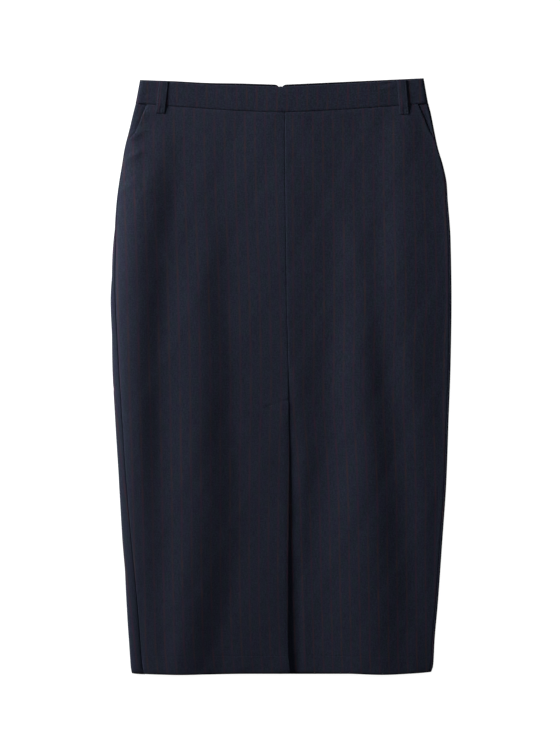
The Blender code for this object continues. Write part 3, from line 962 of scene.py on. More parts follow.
def row_ends(rows: np.ndarray, low: float, high: float) -> np.ndarray:
    """Return rows' distances from a free low edge or a sewn high one, which rounds less."""
    return np.minimum(rows - low, SEWN_ROUNDING * (high - rows))


def body_patch(
    rows: np.ndarray, walks: Walk, edges: tuple[HeightLine, HeightLine], ends: np.ndarray
) -> Patch:
    """Make a panel's grid, bent near its ends so that it meets both of its edges.

    Args:
        rows: The stacked walks' levels.
        walks: The walks.
        edges: The height at x of the lower edge and of the upper one.
        ends: Each row's distance from the panel's lower or upper edge.

    Returns:
        The grid.
    """
    to_waist = ease((rows - WAIST_FADE_Y) / (WAIST_SIDE_Y - WAIST_FADE_Y))[:, None]
    to_hem = ease((HEM_FADE_Y - rows) / (HEM_FADE_Y - HEM_Y))[:, None]
    bottom, top = edges

    def heights(x: np.ndarray) -> np.ndarray:
        """Return the bent rows' heights at x."""
        to_top = to_waist * (top(x) - HALF_SEAM - WAIST_SIDE_Y)
        return rows[:, None] + to_top + to_hem * (bottom(x) - HEM_Y)

    return grid_patch(walks, heights, ends)


def vertex_normals(points: np.ndarray, quads: np.ndarray) -> np.ndarray:
    """Average the faces' directions at each point of a surface.

    Args:
        points: The surface's points.
        quads: Its faces, as four indices each.

    Returns:
        The points' unit normals.
    """
    a, b, c, d = (points[quads[:, k]] for k in range(4))
    faces = np.cross(c - a, d - b)
    normals = np.zeros_like(points)
    for axis in range(3):
        spread = np.repeat(faces[:, axis], 4)
        normals[:, axis] = np.bincount(quads.ravel(), spread, len(points))
    return normals / np.linalg.norm(normals, axis=1)[:, None]


def rounded_edge(inside: np.ndarray, radius: float) -> np.ndarray:
    """Return half the wall's thickness at distances inside an edge rounded to a radius."""
    missing = 1 - np.minimum(inside / radius, 1.0)
    return radius * np.sqrt(1 - missing**2)


def ring_faces(rings: int, sides: int, first: int = 0) -> list[tuple[int, ...]]:
    """Close a stack of rings of points with faces.

    Args:
        rings: How many rings there are.
        sides: How many points each has.
        first: The first point's index.

    Returns:
        The faces between the rings and one at each end.
    """
    faces = []
    for start in range(first, first + (rings - 1) * sides, sides):
        for k in range(sides):
            a, b = start + k, start + (k + 1) % sides
            faces.append((a, b, b + sides, a + sides))
    last = first + (rings - 1) * sides
    return [*faces, tuple(range(first, first + sides))[::-1], tuple(range(last, last + sides))]


def add_object(name: str, data: bpy.types.ID) -> bpy.types.Object:
    """Link a new object to the scene.

    Args:
        name: Its name.
        data: Its mesh, lamp or camera.

    Returns:
        The object.
    """
    thing = bpy.data.objects.new(name, data)
    bpy.context.scene.collection.objects.link(thing)
    return thing


def add_mesh(name: str, points: np.ndarray, faces: Sequence[Sequence[int]]) -> bpy.types.Object:
    """Make a mesh object and link it to the scene.

    Args:
        name: Its name.
        points: Its points, in millimetres.
        faces: Its faces, as indices of points.

    Returns:
        The object.
    """
    mesh = bpy.data.meshes.new(name)
    mesh.from_pydata((points * MM).tolist(), [], faces)
    return add_object(name, mesh)


class CutCloth:
    """One cut piece of cloth: its middle surface patch by patch, and its solid."""

    # The stored vector holds the place across and along the grain, then a painted shade where
    # shadow falls
    ATTRIBUTE = "cut"
    TURNED_WALL = 1.0

    def __init__(self, wall: float, *patches: Patch) -> None:
        """Start a piece.

        Args:
            wall: How thick its wall is.
            patches: Its first grids, which stand apart.
        """
        self.wall = wall
        self.patches: list[Patch] = []
        self.quads: list[np.ndarray] = []
        self.count = 0
        for patch in patches:
            self.add(patch)

    def add(self, patch: Patch, shared: np.ndarray | None = None) -> np.ndarray:
        """Add a grid to the piece.

        Args:
            patch: The grid.
            shared: Indices of points already there that its last column is joined to.

        Returns:
            The indices of the grid's points.
        """
        rows, columns = patch.inside.shape
        own = columns if shared is None else columns - 1
        index = self.count + np.arange(rows * own).reshape(rows, own)
        self.count += rows * own
        self.patches.append(
            patch.mapped(lambda values: values[:, :own].reshape(-1, *values.shape[2:]))
        )
        if shared is not None:
            index = np.column_stack((index, shared))
        corners = (index[:-1, :-1], index[:-1, 1:], index[1:, 1:], index[1:, :-1])
        self.quads.append(np.stack(corners, axis=-1).reshape(-1, 4))
        return index

    def make(self, name: str) -> bpy.types.Object:
        """Give the cloth its wall, rounded at every edge.

        Args:
            name: The piece's name.

        Returns:
            The new object.
        """
        quads = np.concatenate(self.quads)
        arrays = zip(*(patch.arrays() for patch in self.patches))
        whole = Patch(*(np.concatenate(parts) for parts in arrays))
        points = whole.points + vertex_normals(whole.points, quads) * whole.lift[:, None]
        normals = vertex_normals(points, quads)
        outer = rounded_edge(whole.inside, self.wall / 2)
        inner = outer + rounded_edge(whole.inside, self.TURNED_WALL) * whole.turned
        own = np.flatnonzero(whole.inside > 0.0)
        under = np.arange(len(points))
        under[own] = len(points) + np.arange(len(own))
        top = points + normals * outer[:, None]
        bottom = (points - normals * inner[:, None])[own]
        faces = np.concatenate((quads, under[quads[:, ::-1]]))
        piece = add_mesh(name, np.concatenate((top, bottom)), faces.tolist())
        cut = np.concatenate((whole.cut, whole.cut[own])).astype(np.float32)
        stored = piece.data.attributes.new(self.ATTRIBUTE, "FLOAT_VECTOR", "POINT")
        stored.data.foreach_set("vector", cut.ravel())
        piece.data.shade_smooth()
        return piece


def dress(
    piece: bpy.types.Object,
    material: bpy.types.Material,
    slot: Slot,
    node: str | None = None,
) -> bpy.types.Object:
    """Give a piece its finish and its place on the frame.

    Args:
        piece: The piece.
        material: Its finish.
        slot: The record's slot the finish belongs to; not used.
        node: The CAD node that the piece stands for.

    Returns:
        The same piece.
    """
    piece.data.materials.append(material)
    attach(piece, "root")
    if node:
        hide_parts(node)
    return piece


@dataclass(frozen=True)
class FlatCut:
    """The flat size a piece of wool was cut to, and its share of that box if not all."""

    width: float
    length: float
    share: float | None = None

    def declare(
        self,
        piece: bpy.types.Object,
        rests_on: Sequence[str],
        with_pieces: Sequence[bpy.types.Object] = (),
    ) -> None:
        """Work out the flat size and area of a sheet of this cut, which are then left unused.

        Args:
            piece: The piece; not used.
            rests_on: The names of what it lies on; not used.
            with_pieces: The separate pieces sewn on it; not used.
        """
        width, length = self.width * MM, self.length * MM
        area = None if self.share is None else width * length * self.share

    def lay(
        self,
        cloth: CutCloth,
        wool: bpy.types.Material,
        names: tuple[str, str],
        rests_on: Sequence[str],
    ) -> bpy.types.Object:
        """Args:
            cloth: Its form.
            wool: Its finish.
            names: The piece's name and the CAD node that it stands for.
            rests_on: The names of what it lies on.

        Returns:
            The new piece.
        """
        name, node = names
        piece = dress(cloth.make(name), wool, Slot.WOOL, node)
        self.declare(piece, rests_on)
        return piece


class Value:
    """A number on a node's socket, with arithmetic that adds Math nodes."""

    def __init__(self, tree: "Shader", socket: bpy.types.NodeSocket) -> None:
        """Wrap a socket of a shader's tree."""
        self.tree = tree
        self.socket = socket

    def math(self, operation: str, *others: "Value | float") -> "Value":
        """Return this value put through a Math node with others after it."""
        inputs = dict(enumerate((self, *others)))
        return self.tree.add("ShaderNodeMath", {"operation": operation}, inputs).value()

    def __add__(self, other: "Value | float") -> "Value":
        """Return the sum."""
        return self.math("ADD", other)

    def __sub__(self, other: "Value | float") -> "Value":
        """Return the difference."""
        return self.math("SUBTRACT", other)

    def __rsub__(self, other: float) -> "Value":
        """Return the difference, with the number first."""
        return self.math("MULTIPLY_ADD", -1.0, other)

    def __mul__(self, other: "Value | float") -> "Value":
        """Return the product."""
        return self.math("MULTIPLY", other)

    def __truediv__(self, other: "Value | float") -> "Value":
        """Return the quotient."""
        return self.math("DIVIDE", other)

    __radd__ = __add__
    __rmul__ = __mul__

    def wave(self, period: float) -> "Value":
        """Return a sine of this value with a period, between 0 and 1."""
        return (self * (2 * math.pi / period)).math("SINE") * 0.5 + 0.5

    def from_line(self, pitch: float) -> "Value":
        """Return the distance to the nearest of many lines a pitch apart."""
        return ((self / pitch + 0.5).math("FRACT") - 0.5).math("ABSOLUTE") * pitch

    def below(self, limit: float, soft: float) -> "Value":
        """Tell where this value lies below a limit.

        Args:
            limit: The middle of the soft edge.
            soft: How wide the edge is.

        Returns:
            A value of 1 below the limit and 0 above it.
        """
        # the Map Range node's sockets: the value, from low to high, and to 1 and 0
        settings = {"interpolation_type": "SMOOTHSTEP"}
        inputs = {0: self, 1: limit - soft / 2, 2: limit + soft / 2, 3: 1.0, 4: 0.0}
        return self.tree.add("ShaderNodeMapRange", settings, inputs).value()


@dataclass(frozen=True)
class Grain:
    """One kind of unevenness in the yarns: its size, and its weight in hue and lightness."""

    width: float
    length: float
    hue: float = 0.0
    light: float = 0.0


class Shader:
    """A material's node tree, with its Principled shader."""

    def __init__(self, name: str) -> None:
        """Make a material.

        Args:
            name: Its finish's name.
        """
        self.material = bpy.data.materials.new(name)
        self.material.use_nodes = True
        self.tree = self.material.node_tree
        self.principled = self.tree.nodes["Principled BSDF"]

    def add(self, kind: str, settings: dict | None = None, inputs: dict | None = None) -> "Node":
        """Add a node.

        Args:
            kind: The node's type.
            settings: Its properties, set before its sockets.
            inputs: Values or links for its sockets, by name or place.

        Returns:
            The new node.
        """
        node = self.tree.nodes.new(kind)
        for name, value in (settings or {}).items():
            setattr(node, name, value)
        for name, value in (inputs or {}).items():
            self.feed(node.inputs[name], value)
        return Node(self, node)

    def feed(self, socket: bpy.types.NodeSocket, value: object) -> None:
        """Link a value to a socket, or set a number or an opaque colour on it.

        Args:
            socket: The socket.
            value: The value, number or colour.
        """
        if isinstance(value, Value):
            self.tree.links.new(value.socket, socket)
        else:
            socket.default_value = (*value, 1.0) if isinstance(value, tuple) else value

    def set(self, **sockets: object) -> bpy.types.Material:
        """Feed the Principled shader's sockets, named with _ for a space.

        Args:
            sockets: A number, a colour or a value for each of them.

        Returns:
            The material.
        """
        for name, value in sockets.items():
            self.feed(self.principled.inputs[name.replace("_", " ")], value)
        return self.material

    def blend(self, share: Value, start: Value | Colour, end: Value | Colour) -> Value:
        """Return a colour between two others."""
        # the Mix node's sockets for colours: the factor, A and B, and below the result
        inputs = {0: share, 6: start, 7: end}
        return self.add("ShaderNodeMix", {"data_type": "RGBA"}, inputs).value(2)

    def place(self) -> Value:
        """Return the places on the piece, in metres."""
        return self.add("ShaderNodeTexCoord").value("Object")

    def split(self, place: Value) -> list[Value]:
        """Return the three numbers of a place."""
        parts = self.add("ShaderNodeSeparateXYZ", {}, {0: place})
        return [parts.value(k) for k in range(3)]

    def noise(self, place: Value, scale: float, detail: float = 2.0) -> Value:
        """Return noise from 0 to 1 at places, with so many grains to their unit."""
        inputs = {"Vector": place, "Scale": scale, "Detail": detail}
        return self.add("ShaderNodeTexNoise", {}, inputs).value()

    def grains(self, across: Value, along: Value, grain: Grain) -> Value:
        """Return noise from 0 to 1 in grains of a width and a length, in the values' unit."""
        sides = {0: across / grain.width, 1: along / grain.length}
        return self.noise(self.add("ShaderNodeCombineXYZ", {}, sides).value(), 1.0)

    def bumped(self, height: Value, distance: float) -> Value:
        """Return the normal of a surface raised by a height, in metres at its most."""
        inputs = {"Strength": 1.0, "Distance": distance, "Height": height}
        return self.add("ShaderNodeBump", {}, inputs).value()


@dataclass(frozen=True)
class Node:
    """A node that was added, whose outputs can be read."""

    tree: Shader
    node: bpy.types.Node

    def value(self, output: int | str = 0) -> Value:
        """Return one of the node's outputs."""
        return Value(self.tree, self.node.outputs[output])


@dataclass(frozen=True)
class WoolFinish:
    """Fine navy twill with a broken dull red pinstripe that runs with the grain."""

    name: str = "navy_pinstripe_wool"
    bluish: Colour = (0.0057, 0.0112, 0.0142)
    plum: Colour = (0.0091, 0.0066, 0.0205)
    dark_yarn: Colour = (0.0048, 0.0060, 0.0111)
    light_yarn: Colour = (0.0126, 0.0160, 0.0278)
    brown_stripe: Colour = (0.0231, 0.0127, 0.0149)
    mauve_stripe: Colour = (0.0220, 0.0094, 0.0198)
    # painted shade: the near-black colour that the cut's painted shade blends in, for the shadow
    # under the hem's edge, at the right turn and at the back band's top
    edge: Colour = (0.0004, 0.0004, 0.0006)
    slub: Grain = Grain(1.1, 1.1, light=1.5)
    fleck: Grain = Grain(2.3, 1.9, hue=0.5, light=2.4)
    rib: Grain = Grain(1.2, 9.0, light=1.5)
    streak: Grain = Grain(3.4, 26.0, hue=1.3)
    patch: Grain = Grain(11.0, 11.0, hue=0.8)
    hue_softness: float = 0.5
    dark_share: float = 0.8
    light_share: float = 0.4
    contrast_at_hem: float = 0.75
    contrast_gain: float = 0.0004
    stripe_pitch: float = 13.2
    stripe_half_width: float = 1.1
    stripe_softness: float = 1.9
    stripe_strength: float = 0.85
    stripe_worn: Grain = Grain(9.0, 16.0)
    worn_contrast: float = 3.2
    worn_loss: float = 0.6
    stripe_tint: Grain = Grain(10.0, 90.0)
    tint_softness: float = 0.2
    dash_length: float = 1.7
    dash_shift: float = 2.0
    dash_depth: float = 0.4
    dash_level: float = 0.4
    twill_pitch: float = 0.62
    twill_slant: float = 1.25
    twill_relief: float = 0.6
    weft_pitch: float = 0.496
    weft_relief: float = 0.25
    yarn_shift: float = 0.5
    slub_relief: float = 0.5
    yarn_relief: float = 0.00007
    hem_line: Pair = (0.7, 0.6)
    hem_depth: float = 0.4
    prick: Pair = (1.5, 1.2)
    prick_pitch: float = 6.5
    prick_depth: float = 1.5
    roughness: float = 0.82
    slub_roughness: float = 0.12
    sheen: float = 0.015
    sheen_roughness: float = 0.45
    sheen_tint: Colour = (0.72, 0.82, 1.0)
    specular: float = 0.06

    def make(self) -> bpy.types.Material:
        """Build the material.

        Returns:
            The material.
        """
        shader = Shader(self.name)
        place = shader.add("ShaderNodeAttribute", {"attribute_name": CutCloth.ATTRIBUTE})
        across, along, painted_shade = shader.split(place.value("Vector"))
        slub = shader.grains(across, along, self.slub)
        ground = self.ground(shader, across, along, slub)
        cloth = self.striped(shader, ground, across, along, slub)
        relief = self.weave(across, along, slub) - self.hem_stitches(across, along)
        return shader.set(
            # the cloth is darkened towards the painted shade colour where the cut's painted shade
            # is high
            Base_Color=shader.blend(painted_shade, cloth, self.edge),
            Roughness=self.roughness + slub * self.slub_roughness,
            Normal=shader.bumped(relief, self.yarn_relief),
            Sheen_Weight=self.sheen,
            Sheen_Roughness=self.sheen_roughness,
            Sheen_Tint=self.sheen_tint,
            Specular_IOR_Level=self.specular,
        )

    def weave(self, across: Value, along: Value, slub: Value) -> Value:
        """Raise the twill's slanting ribs and its weft.

        Args:
            across: Places across the grain.
            along: Places along the grain.
            slub: The yarn's own unevenness.

        Returns:
            The weave's height.
        """
        shift = slub * self.yarn_shift
        twill = (across + along * self.twill_slant + shift).wave(self.twill_pitch)
        weft = (along + shift).wave(self.weft_pitch)
        return twill * self.twill_relief + weft * self.weft_relief + slub * self.slub_relief

    def hem_stitches(self, across: Value, along: Value) -> Value:
        """Draw the cloth in along the hem's hidden stitches, in a line of pricks.

        Args:
            across: Places across the grain.
            along: Places along the grain.

        Returns:
            How deep it is drawn in.
        """
        line = (along - TURN_UP).math("ABSOLUTE").below(*self.hem_line)
        pricks = line * across.from_line(self.prick_pitch).below(*self.prick)
        return pricks * self.prick_depth + line * self.hem_depth

    @staticmethod
    def mixed(*noises: tuple[Value, float]) -> Value:
        """Return noises added up by their weights, each counted from its middle."""
        first, *others = (noise * weight for noise, weight in noises)
        return sum(others, first) - sum(weight for _, weight in noises) / 2

    def ground(self, shader: Shader, across: Value, along: Value, slub: Value) -> Value:
        """Mix the cloth's colour between its stripes from unlike yarns.

        Args:
            shader: The material's nodes.
            across: Places across the grain.
            along: Places along the grain.
            slub: The yarn's own unevenness.

        Returns:
            The colour.
        """
        streak = shader.grains(across, along, self.streak)
        patch = shader.grains(across, along, self.patch)
        fleck = shader.grains(across, along, self.fleck)
        rib = shader.grains(across, along, self.rib)
        hues = ((streak, self.streak.hue), (patch, self.patch.hue), (fleck, self.fleck.hue))
        hue = self.mixed(*hues).below(0.0, self.hue_softness)
        colour = shader.blend(hue, self.plum, self.bluish)
        colour = shader.blend(patch * self.dark_share, colour, self.dark_yarn)
        lights = ((fleck, self.fleck.light), (slub, self.slub.light), (rib, self.rib.light))
        contrast = along * self.contrast_gain + self.contrast_at_hem
        lightness = self.mixed(*lights) * contrast + self.light_share
        return shader.blend(lightness, colour, self.light_yarn)

    def striped(
        self, shader: Shader, ground: Value, across: Value, along: Value, slub: Value
    ) -> Value:
        """Lay the stripes on the ground; they fade in places and vary in hue.

        Args:
            shader: The material's nodes.
            ground: The colour between the stripes.
            across: Places across the grain.
            along: Places along the grain.
            slub: The yarn's own unevenness.

        Returns:
            The colour.
        """
        from_stripe = across.from_line(self.stripe_pitch)
        line = from_stripe.below(self.stripe_half_width, self.stripe_softness)
        dash = (along + slub * self.dash_shift).wave(self.dash_length)
        worn = shader.grains(across, along, self.stripe_worn)
        tint = shader.grains(across, along, self.stripe_tint).below(0.5, self.tint_softness)
        colour = shader.blend(tint, self.brown_stripe, self.mauve_stripe)
        strength = line * (dash * self.dash_depth + self.dash_level)
        strength = strength * (worn * self.worn_contrast - self.worn_loss)
        return shader.blend(strength * self.stripe_strength, ground, colour)


@dataclass(frozen=True)
class ThreadFinish:
    """Twisted polyester sewing thread, a little glossier than the wool."""

    name: str = "navy_sewing_thread"
    colour: Colour = (0.010, 0.011, 0.020)
    light: Colour = (0.022, 0.024, 0.040)
    twist_scale: float = 2600.0
    twist_detail: float = 1.0
    relief: float = 0.00004
    roughness: float = 0.6
    twist_roughness: float = 0.2
    specular: float = 0.15

    def make(self) -> bpy.types.Material:
        """Build the material.

        Returns:
            The material.
        """
        shader = Shader(self.name)
        twist = shader.noise(shader.place(), self.twist_scale, self.twist_detail)
        return shader.set(
            Base_Color=shader.blend(twist, self.colour, self.light),
            Roughness=self.roughness + twist * self.twist_roughness,
            Normal=shader.bumped(twist, self.relief),
            Specular_IOR_Level=self.specular,
        )


@dataclass(frozen=True)
class TapeFinish:
    """Woven zip tape with a fine rib along its length."""

    name: str = "navy_zip_tape"
    colour: Colour = (0.0085, 0.0095, 0.0170)
    light: Colour = (0.0180, 0.0200, 0.0330)
    rib_pitch: float = 0.0009
    rib_share: float = 0.6
    pick_pitch: float = 0.0006
    pick_share: float = 0.4
    grain_scale: float = 900.0
    grain_detail: float = 3.0
    relief: float = 0.00008
    roughness: float = 0.62
    grain_roughness: float = 0.2
    specular: float = 0.3

    def make(self) -> bpy.types.Material:
        """Build the material.

        Returns:
            The material.
        """
        shader = Shader(self.name)
        place = shader.place()
        across, along, _ = shader.split(place)
        ribs = across.wave(self.rib_pitch)
        picks = (along + ribs * self.pick_pitch).wave(self.pick_pitch)
        grain = shader.noise(place, self.grain_scale, self.grain_detail)
        weave = ribs * self.rib_share + picks * self.pick_share
        return shader.set(
            Base_Color=shader.blend(weave * grain, self.colour, self.light),
            Roughness=self.roughness + grain * self.grain_roughness,
            Normal=shader.bumped(weave, self.relief),
            Specular_IOR_Level=self.specular,
        )


@dataclass(frozen=True)
class EnamelFinish:
    """Navy enamel on a die-cast slider, rubbed thin in places."""

    name: str = "navy_enamelled_metal"
    enamel: Colour = (0.010, 0.011, 0.020)
    worn: Colour = (0.060, 0.062, 0.070)
    grain_scale: float = 1400.0
    grain_detail: float = 4.0
    wear_start: float = 0.66
    wear_softness: float = 0.16
    relief: float = 0.00002
    roughness: float = 0.32
    grain_roughness: float = 0.25
    metal: float = 0.35
    worn_metal: float = 0.5

    def make(self) -> bpy.types.Material:
        """Build the material.

        Returns:
            The material.
        """
        shader = Shader(self.name)
        grain = shader.noise(shader.place(), self.grain_scale, self.grain_detail)
        wear = 1 - grain.below(self.wear_start, self.wear_softness)
        return shader.set(
            Base_Color=shader.blend(wear, self.enamel, self.worn),
            Roughness=self.roughness + grain * self.grain_roughness,
            Metallic=self.metal + wear * self.worn_metal,
            Normal=shader.bumped(grain, self.relief),
        )


@dataclass(frozen=True)
class FloorFinish:
    """A plain floor that glows white, so that it stays pale in the skirt's shadow too."""

    name: str = "white_floor"
    colour: Colour = (0.20, 0.20, 0.20)
    cloudy: Colour = (0.18, 0.18, 0.185)
    cloud_scale: float = 1.5
    white: Colour = (1.0, 1.0, 1.0)
    glow: float = 0.97
    roughness: float = 0.9
    specular: float = 0.1

    def make(self) -> bpy.types.Material:
        """Build the material.

        Returns:
            The material.
        """
        shader = Shader(self.name)
        clouds = shader.noise(shader.place(), self.cloud_scale)
        return shader.set(
            Base_Color=shader.blend(clouds, self.colour, self.cloudy),
            Roughness=self.roughness,
            Specular_IOR_Level=self.specular,
            Emission_Color=self.white,
            Emission_Strength=self.glow,
        )


FRONT_CREASES = (
    # along the stitch that holds the underlap, and the pull at its end
    Crease(((8.5, -30.4), (-9.0, -36.8), (-23.1, -42.2)), 1.4, -0.5, True),
    Crease(((-12.0, -37.9), (-18.0, -40.2), (-24.0, -42.8)), 1.4, -0.6),
    Crease(((-10.0, -33.8), (-17.0, -35.8), (-25.0, -38.3)), 2.6, 0.3),
    # hip, where the left side is pulled towards the pocket
    Crease(((-200.0, 330.0), (-182.0, 340.0), (-160.0, 346.0)), 4.5, 0.7),
    Crease(((-206.0, 302.0), (-190.0, 314.0), (-172.0, 322.0)), 5.0, 0.9),
    Crease(((-211.0, 270.0), (-196.0, 284.0), (-172.0, 298.0)), 4.5, 0.7),
    Crease(((-214.0, 232.0), (-203.0, 244.0), (-184.0, 258.0)), 5.0, 0.5),
)


@dataclass
class Fronts:
    """The two front panels, joined at centre front down to the vent."""

    wool: bpy.types.Material
    row_step: float = 2.9
    columns: int = 84
    seam_depth: float = 0.26
    seam_reach: float = 0.8
    seam_start: float = 12.0
    sewn_sharpness: float = 1.5
    side_reaches: Pair = (2.8, 20.0)
    waist_puff: Triple = (0.15, 2.0, 26.0)
    # painted shade: how far up from the hem the shadow under its edge is painted dark
    painted_hem_shade: float = 3.0
    drift: Drift = Drift(0.16, 0.4)
    drift_from_side: float = 14.0
    drift_from_hem: float = 6.0
    facing: float = 30.0
    facing_fade: float = 8.0
    droop: float = 0.5
    droop_reach: float = 3.0
    droop_start: float = 40.0
    droop_hem_share: float = 0.4
    droop_hem_fade: float = 60.0
    underlap_width: float = 30.0
    underlap_columns: int = 12
    underlap_slant: float = 13.0
    underlap_slant_reach: float = 60.0
    left_cut: FlatCut = FlatCut(228.0, 742.0, 0.93)
    right_cut: FlatCut = FlatCut(252.0, 742.0, 0.88)

    def walk(self, side: Side, level: float) -> Walk:
        """Lay a front's columns at a level, from its seam or pocket to centre front.

        Args:
            side: Which front.
            level: The level.

        Returns:
            The columns' places and lengths.
        """
        section = section_at(level)
        start = SIDE_SEAMS[side].at(level).inset
        if level > POCKETS[side].y[0]:
            start = max(start, POCKETS[side].at(level).inset)
        end = abs(section.edges[side] - CENTRE_FRONT.at(level).x) - HALF_SEAM
        span = (section.length_to(side, start) + HALF_SEAM, section.length_to(side, end))
        return section.walk(side, span, self.columns)

    def panel(self, side: Side) -> tuple[np.ndarray, Patch]:
        """Lay one front on its form.

        Args:
            side: Which front.

        Returns:
            Its levels, and the grid with its seam grooves, creases and turned hem.
        """
        rows = levels(HEM_Y, VENT_TOP_Y, WAIST_SIDE_Y, step=self.row_step)
        walks = Walk.stacked([self.walk(side, level) for level in rows])
        from_side, from_middle = walks.along, walks.to_end
        ends = row_ends(rows, HEM_Y, WAIST_SIDE_Y)
        patch = body_patch(rows, walks, (hem_y, waist_y), ends)
        above_hem = (rows - HEM_Y)[:, None]
        below_waist = (WAIST_SIDE_Y - rows)[:, None]
        sewn = 1 - before(rows, VENT_TOP_Y, self.seam_start)[:, None]

        left, left_squeeze, right, right_squeeze = STRIPES.columns(rows)
        stripe, squeeze = (left, left_squeeze) if side < 0 else (right, right_squeeze)
        across = (from_middle - stripe) / squeeze
        # the wool by the hem is painted dark for the shadow under its rounded edge
        patch.mark(across, patch.y - HEM_Y, nearness(above_hem, self.painted_hem_shade))

        calm = ease(from_side / self.drift_from_side) * ease(above_hem / self.drift_from_hem)
        patch.lift += sewn * groove(from_middle, self.seam_depth, self.seam_reach)
        patch.lift += side_seam(side, rows, from_side, self.side_reaches)
        patch.lift += puff(below_waist, *self.waist_puff)
        patch.lift += creased(FRONT_CREASES, patch.x, patch.y)
        patch.lift += self.drift.lift(patch.x, patch.y) * calm
        patch.turned += before(above_hem, TURN_UP, TURNED_BLEND)

        at_side = from_side * (1 - pocket_thinning(side, rows))[:, None]
        at_middle = from_middle
        if side > 0:
            # below the vent's top it goes on into the underlap, without an edge of its own
            below_vent = np.maximum(VENT_TOP_Y - rows, 0.0)[:, None]
            at_middle = np.hypot(patch.x - patch.x[:, -1:], below_vent)
        at_middle = at_middle * (1 + self.sewn_sharpness * sewn)
        patch.inside = np.minimum(np.minimum(at_side, at_middle), ends[:, None])
        return rows, patch

    def make_left(self) -> bpy.types.Object:
        """Make the left front, whose turned edge laps over the vent.

        Returns:
            The piece.
        """
        rows, patch = self.panel(Side.LEFT)
        from_middle = np.abs(patch.x - patch.x[:, -1:])
        below_vent = (VENT_TOP_Y - rows)[:, None]
        off_hem = ease((rows - HEM_Y)[:, None] / self.droop_hem_fade)
        share = self.droop_hem_share + (1 - self.droop_hem_share) * off_hem
        droop = self.droop * share * ease(below_vent / self.droop_start)
        patch.lift += groove(from_middle, droop, self.droop_reach)
        faced = before(from_middle, self.facing, TURNED_BLEND)
        faced = faced * ease(below_vent / self.facing_fade)
        patch.turned = np.maximum(patch.turned, faced)
        names = ("cloth_front_left", "front_panel_left")
        rests_on = ["cloth_back_left", "cloth_front_right"]
        return self.left_cut.lay(CutCloth(CLOTH, patch), self.wool, names, rests_on)

    def make_right(self) -> bpy.types.Object:
        """Make the right front, with the underlap that runs below the left front.

        Returns:
            The piece.
        """
        rows, patch = self.panel(Side.RIGHT)
        edge_z, reach = VENT_DIP.columns(rows)
        _, seam_z = CENTRE_FRONT.columns(rows)
        open_rows = (rows < VENT_DIP.y[-1])[:, None]
        dip = open_rows * (seam_z - edge_z)
        patch.points[..., 2] -= dip * nearness(patch.x - patch.x[:, -1:], reach)
        patch = patch.mirrored()
        cloth = CutCloth(CLOTH)
        index = cloth.add(patch)
        count = int((rows < VENT_TOP_Y).sum()) + 1
        underlap = self.underlap(patch.points[:count, :1], rows[:count])
        cloth.add(underlap, shared=index[:count, 0])
        names = ("cloth_front_right", "front_panel_right")
        return self.right_cut.lay(cloth, self.wool, names, ["cloth_back_right"])

    def underlap(self, edge: np.ndarray, rows: np.ndarray) -> Patch:
        """Lay the underlap beside the right front, below the vent's top.

        Args:
            edge: The right front's own points along the vent, which the underlap grows from.
            rows: Their levels.

        Returns:
            The grid, whose last column lies on the edge.
        """
        inset = bordered(self.underlap_width, self.underlap_columns)
        beside = self.underlap_width - inset
        below_vent = (VENT_TOP_Y - rows)[:, None]
        slant = self.underlap_slant * nearness(below_vent, self.underlap_slant_reach)
        x = edge[..., 0] - beside
        y = edge[..., 1] - slant * beside / self.underlap_width
        z = edge[..., 2] + np.zeros_like(x)
        ends = np.minimum(below_vent, (rows - HEM_Y)[:, None])
        patch = Patch.plain(np.stack((x, y, z), axis=-1), np.minimum(inset, ends))
        patch.mark(-beside - WoolFinish.stripe_pitch / 2, y - HEM_Y)
        return patch


